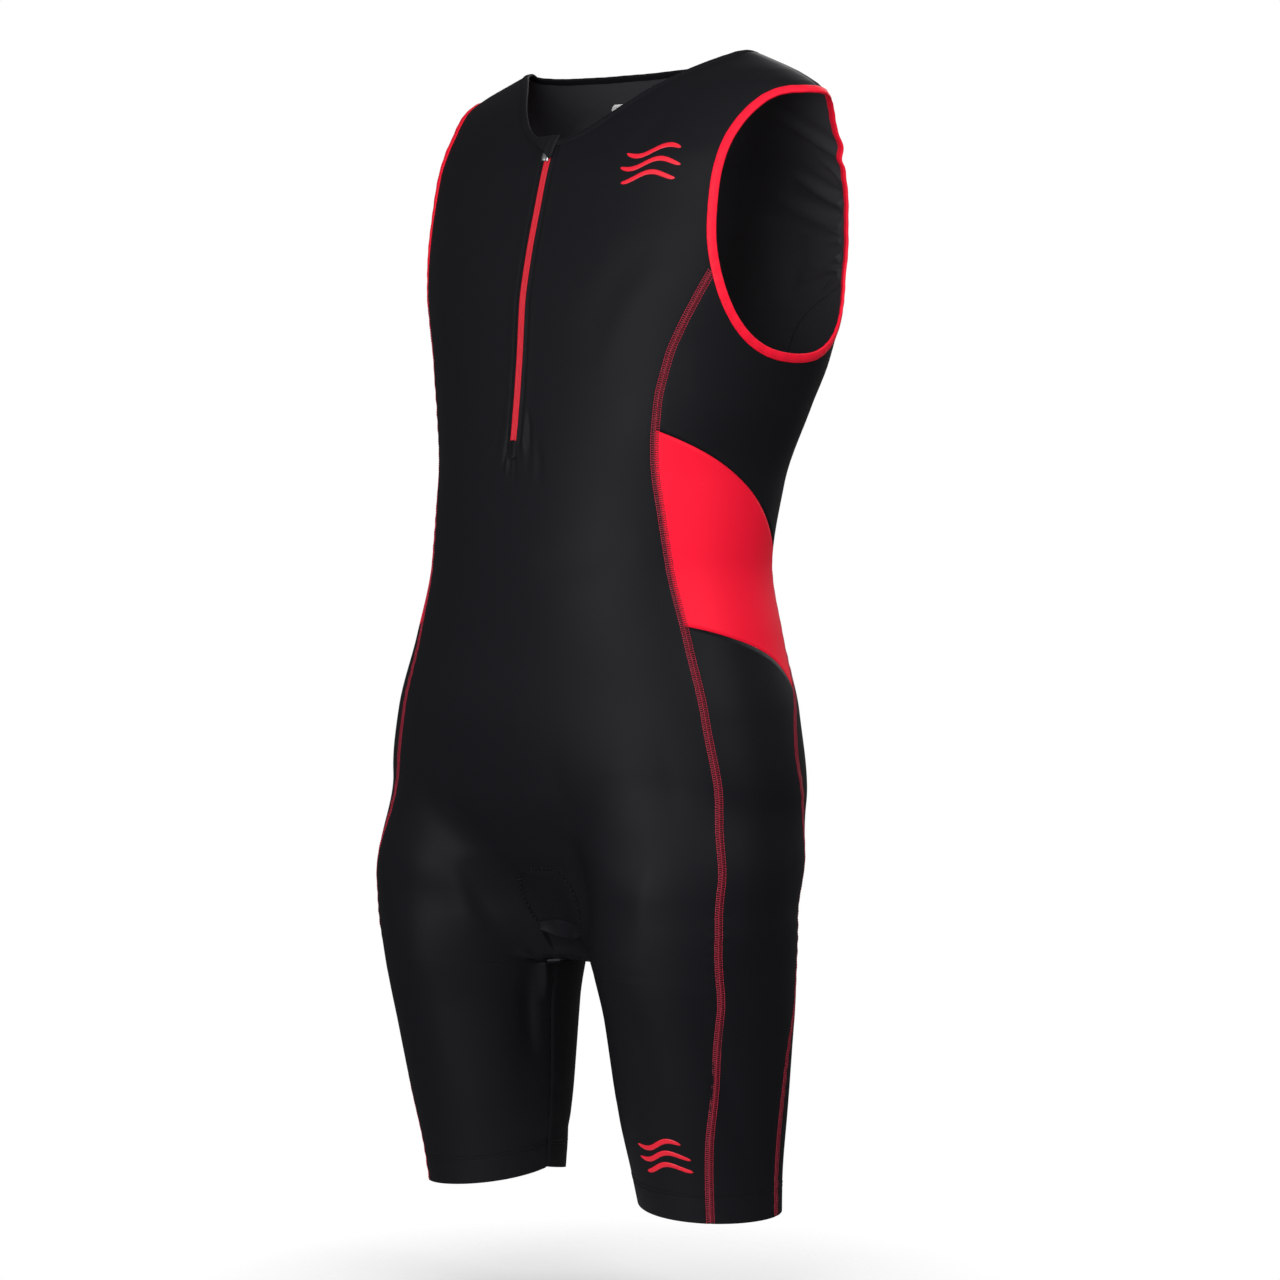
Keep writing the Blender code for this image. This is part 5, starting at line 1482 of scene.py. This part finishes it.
class SUIT_OT_zip(bpy.types.Operator):
    """Half zip: tape, coil, slider, flap over its top, bottom stop and the stitches beside it"""

    bl_idname = "suit.zip"
    bl_label = "Half zip"

    def execute(self, context):
        s = context.scene.suit_cloth
        tape = knit_material("zip_tape_red", (0.74, 0.018, 0.040), 0.55, 0.25, 0.0006, 0.15, 0.06)
        coil = plain_material("zip_coil_red", (0.62, 0.020, 0.038), 0.34, specular=0.5)
        silver = plain_material("zip_silver", (0.60, 0.60, 0.62), 0.30, metallic=1.0)
        flap = knit_material("garage_black", s.black, 0.62, 0.14, 0.0007, 0.10)
        thread = plain_material("zip_thread", (0.006, 0.006, 0.007), 0.45, specular=0.25)
        z = np.linspace(ZIP_TOP + 0.006, ZIP_END - 0.002, 160)
        x, zz = strip(np.full(len(z), -0.0040), np.full(len(z), 0.0040), z, 17)
        roll = (0.0006 * np.exp(-((np.abs(x) - 0.0016) / 0.0009) ** 2)
                - 0.0004 * np.exp(-(x / 0.0004) ** 2))
        strap = plate("zip_tape", x, zz, -0.0018, -0.0009 + roll + 0.0005)
        dress(strap, tape, "red_zip", "zip_chain")
        rows = np.arange(ZIP_END + 0.001, ZIP_TOP + 0.002, 0.00125)
        rings = []
        for way in (-1, 1):
            a, normal = front_points(np.full(len(rows), way * 0.0003), rows + 0.0003 * way, 0.0001)
            b, _ = front_points(np.full(len(rows), way * 0.0024), rows + 0.0003 * way + 0.0003, -0.0001)
            rings.append((a, b, normal))
        teeth = thread_mesh("zip_teeth", *joined(rings), 0.00042, 0.8, 4, 6)
        dress(teeth, coil, "red_zip")
        rows = []
        line_z = np.linspace(ZIP_TOP - 0.002, ZIP_END - 0.006, 260)
        for way in (-1, 1):
            p, n = front_points(np.full(len(line_z), way * ZIP_STITCH), line_z)
            rows.append(row_threads(p, n, 0.0, 0.0026, 0.0005, 0.0001))
        beside = thread_mesh("zip_topstitch", *joined(rows), 0.00022, 0.4, 3, 4)
        dress(beside, thread, "black_fabric")
        self.slider(silver)
        self.flap(flap)
        self.stop(s, thread)
        return {"FINISHED"}

    def slider(self, silver):
        """Body of the slider: its half width shrinks with the square of the way v to either end.

        Its height is 1.6 mm times a dome, (1 - u ** 3.5) ** 0.4 * (1 - v ** 4) ** 0.4.
        """
        u = np.linspace(-1, 1, 21)
        v = np.linspace(-1, 1, 25)
        vv, uu = np.meshgrid(v, u, indexing="ij")
        z = SLIDER_Z - SLIDER_HALF_LENGTH * vv
        x = SLIDER_X + SLIDER_HALF_WIDTH * uu * (1 - 0.22 * np.abs(vv) ** 2)
        dome = np.clip(1 - np.abs(uu) ** 3.5, 0, 1) ** 0.4 * np.clip(1 - np.abs(vv) ** 4, 0, 1) ** 0.4
        body = plate("zip_slider_body", x, z, 0.0001, 0.0004 + 0.0016 * dome)
        dress(body, silver, "zip_metal", "zip_slider")

    def flap(self, material):
        """Flap over the zip's top: a leaf with a straight edge and a long slanted one.

        Its edges are rounded by powers of the ways across and down, and a bell curve along the
        zip, times a sine of the way down, puffs it out.
        """
        way = np.linspace(0, 1, 40)
        z = FLAP_TOP - FLAP_LENGTH * way
        left = np.interp(z, *FLAP_LEFT)
        right = np.interp(z, *FLAP_RIGHT)
        x, zz = strip(settle(left[:, None], False)[:, 0], right, z, 25)
        off = np.abs(np.linspace(-1, 1, 25))[None, :]
        ends = np.clip(1 - np.abs(2 * way[:, None] - 1) ** 14, 0, 1) ** 0.5
        edge = np.clip(1 - off ** 6, 0, 1) ** 0.5 * ends
        puff = 0.0014 * np.exp(-((x + 0.0015) / 0.006) ** 2) * np.sin(math.pi * way[:, None]) ** 0.6
        high = 0.0012 + puff + 0.0010 * edge
        piece = plate("zip_garage_cloth", x, zz, 0.0008 + puff, high)
        dress(piece, material, "black_fabric", "zip_garage")

    def stop(self, s, thread):
        """Patch that closes the zip's lower end, sewn down with dense bar stitches.

        Its half width falls off with the eighth power of the way from its middle to its ends.
        """
        matte = knit_material("stop_black", s.matte, 0.60, 0.16, 0.0007, 0.15)
        z = np.linspace(STOP_TOP, STOP_LOW, 24)
        half = STOP_HALF_WIDTH * np.clip(1 - ((z + 0.31415) / 0.0074) ** 8, 0.1, 1) ** 0.35
        x, zz = strip(-half, half, z, 13)
        off = np.abs(np.linspace(-1, 1, 13))[None, :]
        high = 0.0003 + 0.0009 * np.clip(1 - off ** 6, 0, 1) ** 0.5
        patch = plate("zip_stop_cloth", x, zz, 0.0, high)
        dress(patch, matte, "black_matte_fabric", "zip_stop")
        rows = np.arange(-0.3205, -0.3075, 0.00085)
        a, n = front_points(np.full(len(rows), -0.0033), rows, 0.0011)
        b, _ = front_points(np.full(len(rows), 0.0033), rows + 0.0002, 0.0011)
        bars = thread_mesh("zip_stop_bars", a, b, n, 0.00030, 0.8, 4, 5)
        dress(bars, thread, "black_matte_fabric")


def seam_path(table, side, top, rows=700):
    """Points and normals along a lengthwise seam, from the height `top` down to the hem."""
    z = np.linspace(top, HEM_HEIGHT + 0.001, rows)
    share = seam_share(table, z, side)
    low = hem_height(share[-1])
    z = top + (z - top) * (low + 0.0008 - top) / (z[-1] - top)
    share = seam_share(table, z, side)
    return cloth(share, z, side, 0.00012)


# height where the seam threads start, and the needle rows' distances from the seam
SEAM_THREAD_TOP = -0.1785
NEEDLE_ROWS = (-0.0030, 0.0, 0.0030)


class SUIT_OT_seams(bpy.types.Operator):
    """Flat seams: a zigzag cover thread over each long seam with three rows of needle stitches"""

    bl_idname = "suit.seams"
    bl_label = "Seam threads"

    def execute(self, context):
        t = context.scene.suit_trims
        cover = plain_material("seam_cover_thread", t.thread, 0.45, specular=0.4)
        needle = plain_material("seam_needle_thread", t.needle, 0.42, specular=0.5)
        for side, letter in ((1, "L"), (-1, "R")):
            zigzags = []
            rows = []
            for table in (FRONT_SEAM, BACK_SEAM):
                p, n = seam_path(table, side, SEAM_THREAD_TOP)
                zigzags.append(zigzag_threads(p, n, t.seam_half, 0.00085, 0.0))
                for offset in NEEDLE_ROWS:
                    rows.append(row_threads(p, n, offset, 0.0022, 0.0004, 0.00022))
            piece = thread_mesh("seam_cover_" + letter, *joined(zigzags), t.thread_radius, 0.5, 3, 4)
            dress(piece, cover, "red_fabric")
            piece = thread_mesh("seam_needle_" + letter, *joined(rows), t.thread_radius * 0.9, 0.5, 3, 4)
            dress(piece, needle, "red_fabric")
        return {"FINISHED"}


def wave_ribbons(side, u0, z0, radius):
    """Grids of three wavy ribbons clipped to a circle: each ribbon's middle is a sine of u."""
    grids = []
    for k, (rise, tilt) in enumerate(((0.42, 0.5), (0.02, 0.35), (-0.38, 0.45))):
        reach = math.sqrt(max(1 - rise * rise, 0.05)) * radius * (0.98, 1.0, 0.96)[k]
        u = np.linspace(-reach, reach, 46)
        wave = radius * (rise + 0.13 * np.sin(u / radius * 3.4 + 0.7 * k) + 0.10 * tilt * u / radius)
        half = 0.0019 * np.clip(1 - (u / reach) ** 6, 0.02, 1) ** 0.5
        down = np.linspace(-1, 1, 5)[:, None]
        z = z0 + wave[None, :] - down * half[None, :]
        grids.append(((u0 + u[None, :] + 0 * z) / ring_length(z), z, side))
    return grids


# middle of the label behind the neck and its half sizes, and the middles of both motifs
LABEL_X = 0.0490
LABEL_Z = -0.04075
LABEL_HALF_WIDTH = 0.0190
LABEL_HALF_HEIGHT = 0.01725
CHEST_MOTIF = (0.1002, -0.0950)
LEG_MOTIF = (0.1085, -0.8585)


class SUIT_OT_trims(bpy.types.Operator):
    """Small trims: blank back label, wave motifs, seat pad stitches and hem stitches"""

    bl_idname = "suit.trims"
    bl_label = "Trims"

    def execute(self, context):
        t = context.scene.suit_trims
        white = plain_material("label_white", (0.88, 0.88, 0.88), 0.5)
        print_red = plain_material("motif_red", (0.80, 0.012, 0.034), 0.42)
        gloss = plain_material("pad_thread", (0.003, 0.003, 0.004), 0.40, specular=0.25)
        black = plain_material("hem_thread", (0.005, 0.005, 0.006), 0.5, specular=0.2)
        v = np.linspace(-1, 1, 23)[:, None]
        z = LABEL_Z - LABEL_HALF_HEIGHT * v
        half = LABEL_HALF_WIDTH * (1 - 0.35 * np.clip((np.abs(v) - 0.5) / 0.5, 0, 1) ** 2.5)
        x = LABEL_X + half * np.linspace(-1, 1, 21)[None, :]
        grids = [((1 - x / ring_length(z))[:, ::-1], z + 0 * x, -1)]
        label = shell("back_label_print", grids, 0.0006, -WALL - 0.0006)
        dress(label, white, "white_print", "back_label")
        motif = shell("motif_chest", wave_ribbons(1, *CHEST_MOTIF, t.motif), 0.0002, 0.00018)
        dress(motif, print_red, "red_fabric")
        motif = shell("motif_leg", wave_ribbons(1, *LEG_MOTIF, t.motif * 0.9), 0.0002, 0.00018)
        dress(motif, print_red, "red_fabric")
        run = np.linspace(0, len(PAD_EDGE) - 1, 240)
        edge = np.stack([np.interp(run, np.arange(len(PAD_EDGE)), PAD_EDGE[:, k]) for k in (0, 1)], -1)
        edge = settle(settle(edge, False), False)
        p, n = front_points(edge[:, 0], edge[:, 1], 0.0001)
        pad = thread_mesh("pad_zigzag", *zigzag_threads(p, n, 0.0018, 0.0021, 0.0001), 0.00030, 0.5, 3, 4)
        dress(pad, gloss, "black_fabric")
        rows = []
        for side in (1, -1):
            share = np.linspace(0, 1, 420)
            for up in (0.0, 0.0028):
                p, n = cloth(share, hem_height(share) + HEM_BAND + up, side, 0.0001)
                rows.append(row_threads(p, n, 0.0, 0.0025, 0.0005, 0.0))
        hems = thread_mesh("hem_stitches", *joined(rows), 0.00020, 0.4, 3, 4)
        dress(hems, black, "black_fabric")
        return {"FINISHED"}


def aim(obj, at):
    """Turn a lamp or camera so that its -Z looks at the point, +Y up."""
    way = Vector(at) - obj.location
    obj.rotation_euler = way.to_track_quat("-Z", "Y").to_euler()


def away_from(at, azimuth, elevation, distance):
    """Point at a distance from another, turned from the front toward the wearer's left and raised."""
    return (at[0] + distance * math.sin(azimuth) * math.cos(elevation),
            at[1] - distance * math.cos(azimuth) * math.cos(elevation),
            at[2] + distance * math.sin(elevation))


def area_light(name, azimuth, elevation, distance, size, power, at):
    """Square soft lamp at an azimuth and elevation in degrees round the point it lights."""
    data = bpy.data.lights.new(name, "AREA")
    data.shape = "RECTANGLE"
    data.size = size[0]
    data.size_y = size[1]
    data.energy = power
    lamp = bpy.data.objects.new(name, data)
    bpy.context.scene.collection.objects.link(lamp)
    lamp.location = away_from(at, math.radians(azimuth), math.radians(elevation), distance)
    aim(lamp, at)
    lamp.visible_camera = False
    return lamp


LAMPS = (
    # name, azimuth, elevation, distance, width and height, share of the key power, height it aims at
    ("key_light", 20, 12, 2.9, (1.9, 2.2), 1.75, -0.42),
    ("low_light", 6, -4, 2.9, (1.3, 1.0), 0.62, -0.82),
    ("side_light", 90, 32, 2.8, (1.5, 1.5), 1.15, -0.30),
    ("far_light", -45, 20, 2.8, (1.4, 1.8), 0.12, -0.45),
    ("top_light", 40, 72, 2.2, (1.8, 1.8), 0.22, -0.10),
    ("back_light", 195, 30, 2.6, (1.8, 1.8), 0.80, -0.45),
)
CAMERA_AIM = (0.0367, 0.0, -0.464)
# floor: height, radius, number of rings and spokes, radius where it has faded into the backdrop
FLOOR_HEIGHT = -0.995
FLOOR_RADIUS = 3.0
FLOOR_RINGS = 23
FLOOR_SPOKES = 96
FLOOR_FADE = 0.34


class SUIT_OT_stage(bpy.types.Operator):
    """Pale floor, even backdrop, soft lights and the camera"""

    bl_idname = "suit.stage"
    bl_label = "Stage"

    def execute(self, context):
        s = context.scene.suit_stage
        scene = context.scene
        scene.view_settings.view_transform = "Standard"
        world = bpy.data.worlds.new("suit_world")
        scene.world = world
        world.use_nodes = True
        tree = world.node_tree
        tree.nodes.clear()
        output = tree.nodes.new("ShaderNodeOutputWorld")
        mix = tree.nodes.new("ShaderNodeMixShader")
        path = tree.nodes.new("ShaderNodeLightPath")
        seen = tree.nodes.new("ShaderNodeBackground")
        seen.inputs["Color"].default_value = (1.0, 1.0, 1.0, 1.0)
        seen.inputs["Strength"].default_value = s.backdrop
        fill = tree.nodes.new("ShaderNodeBackground")
        fill.inputs["Color"].default_value = (1.0, 1.0, 1.0, 1.0)
        fill.inputs["Strength"].default_value = 0.10
        wire(tree, path, "Is Camera Ray", mix, 0)
        tree.links.new(fill.outputs[0], mix.inputs[1])
        tree.links.new(seen.outputs[0], mix.inputs[2])
        tree.links.new(mix.outputs[0], output.inputs["Surface"])
        lamps = [area_light(name, azimuth, elevation, distance, size, s.key * share, (0.0, 0.0, height))
                 for name, azimuth, elevation, distance, size, share, height in LAMPS]
        floor = self.floor()
        data = bpy.data.cameras.new("suit_camera")
        data.lens = s.lens
        data.sensor_width = 36.0
        data.sensor_height = 36.0
        data.clip_start = 0.05
        camera = bpy.data.objects.new("suit_camera", data)
        scene.collection.objects.link(camera)
        camera.location = away_from(CAMERA_AIM, s.azimuth, s.elevation, s.distance)
        aim(camera, CAMERA_AIM)
        scene.camera = camera
        return {"FINISHED"}

    def floor(self):
        """Wide pale disc under the suit that fades into the backdrop with its radius."""
        spokes = np.arange(FLOOR_SPOKES)
        angle = np.linspace(0, 2 * math.pi, FLOOR_SPOKES, endpoint=False)
        radius = FLOOR_RADIUS * np.linspace(0, 1, FLOOR_RINGS + 1)[1:]
        ring = np.stack([radius[:, None] * np.cos(angle), radius[:, None] * np.sin(angle),
                         np.zeros((FLOOR_RINGS, FLOOR_SPOKES))], -1).reshape(-1, 3)
        quads = grid_quads(FLOOR_RINGS, FLOOR_SPOKES, around=True) + 1
        centre = np.stack([0 * spokes, spokes + 1, np.roll(spokes, -1) + 1], -1)
        loops = np.concatenate([quads[:, ::-1].ravel(), centre.ravel()])
        sizes = np.concatenate([np.full(len(quads), 4), np.full(FLOOR_SPOKES, 3)])
        points = np.concatenate([[[0.0, 0.0, 0.0]], ring])
        floor = fill_mesh("stage_floor", points, loops, sizes, np.ones(len(sizes), bool))
        floor.location.z = FLOOR_HEIGHT
        material = bpy.data.materials.new("floor_pale")
        material.use_nodes = True
        tree = material.node_tree
        tree.nodes.clear()
        output = tree.nodes.new("ShaderNodeOutputMaterial")
        clear = tree.nodes.new("ShaderNodeBsdfTransparent")
        mix = tree.nodes.new("ShaderNodeMixShader")
        matte = tree.nodes.new("ShaderNodeBsdfPrincipled")
        matte.inputs["Base Color"].default_value = (0.92, 0.92, 0.92, 1.0)
        matte.inputs["Roughness"].default_value = 0.9
        matte.inputs["Emission Color"].default_value = (1.0, 1.0, 1.0, 1.0)
        matte.inputs["Emission Strength"].default_value = 0.12
        coords = tree.nodes.new("ShaderNodeTexCoord")
        far = tree.nodes.new("ShaderNodeVectorMath")
        far.operation = "LENGTH"
        wire(tree, coords, "Object", far, 0)
        fade = tree.nodes.new("ShaderNodeMapRange")
        fade.inputs["From Min"].default_value = 0.0
        fade.inputs["From Max"].default_value = FLOOR_FADE
        wire(tree, far, "Value", fade, "Value")
        tree.links.new(fade.outputs[0], mix.inputs[0])
        tree.links.new(matte.outputs[0], mix.inputs[1])
        tree.links.new(clear.outputs[0], mix.inputs[2])
        tree.links.new(mix.outputs[0], output.inputs["Surface"])
        floor.data.materials.append(material)
        return floor


class SUIT_PT_panel(bpy.types.Panel):
    """Sidebar panel with the settings and the operators"""

    bl_idname = "SUIT_PT_panel"
    bl_label = "Triathlon suit"
    bl_space_type = "VIEW_3D"
    bl_region_type = "UI"
    bl_category = "Suit"

    def draw(self, context):
        layout = self.layout
        for title, group in (("Cloth", context.scene.suit_cloth), ("Trims", context.scene.suit_trims),
                             ("Stage", context.scene.suit_stage)):
            box = layout.box()
            box.label(text=title)
            for name in group.bl_rna.properties.keys():
                if name not in ("rna_type", "name"):
                    box.prop(group, name)
        for operator in STEPS:
            layout.operator(operator.bl_idname)


STEPS = (SUIT_OT_cloth, SUIT_OT_bindings, SUIT_OT_zip, SUIT_OT_seams, SUIT_OT_trims, SUIT_OT_stage)
GROUPS = (("suit_cloth", SuitCloth), ("suit_trims", SuitTrims), ("suit_stage", SuitStage))


def register():
    """Add the settings, operators and panel."""
    for name, group in GROUPS:
        bpy.utils.register_class(group)
        setattr(bpy.types.Scene, name, bpy.props.PointerProperty(type=group))
    for kind in (*STEPS, SUIT_PT_panel):
        bpy.utils.register_class(kind)


def unregister():
    """Take them away again."""
    for kind in (SUIT_PT_panel, *reversed(STEPS)):
        bpy.utils.unregister_class(kind)
    for name, group in reversed(GROUPS):
        delattr(bpy.types.Scene, name)
        bpy.utils.unregister_class(group)


def main():
    """Build everything in order."""
    register()
    bpy.ops.suit.cloth()
    bpy.ops.suit.bindings()
    bpy.ops.suit.zip()
    bpy.ops.suit.seams()
    bpy.ops.suit.trims()
    bpy.ops.suit.stage()


if __name__ == "__main__":
    main()
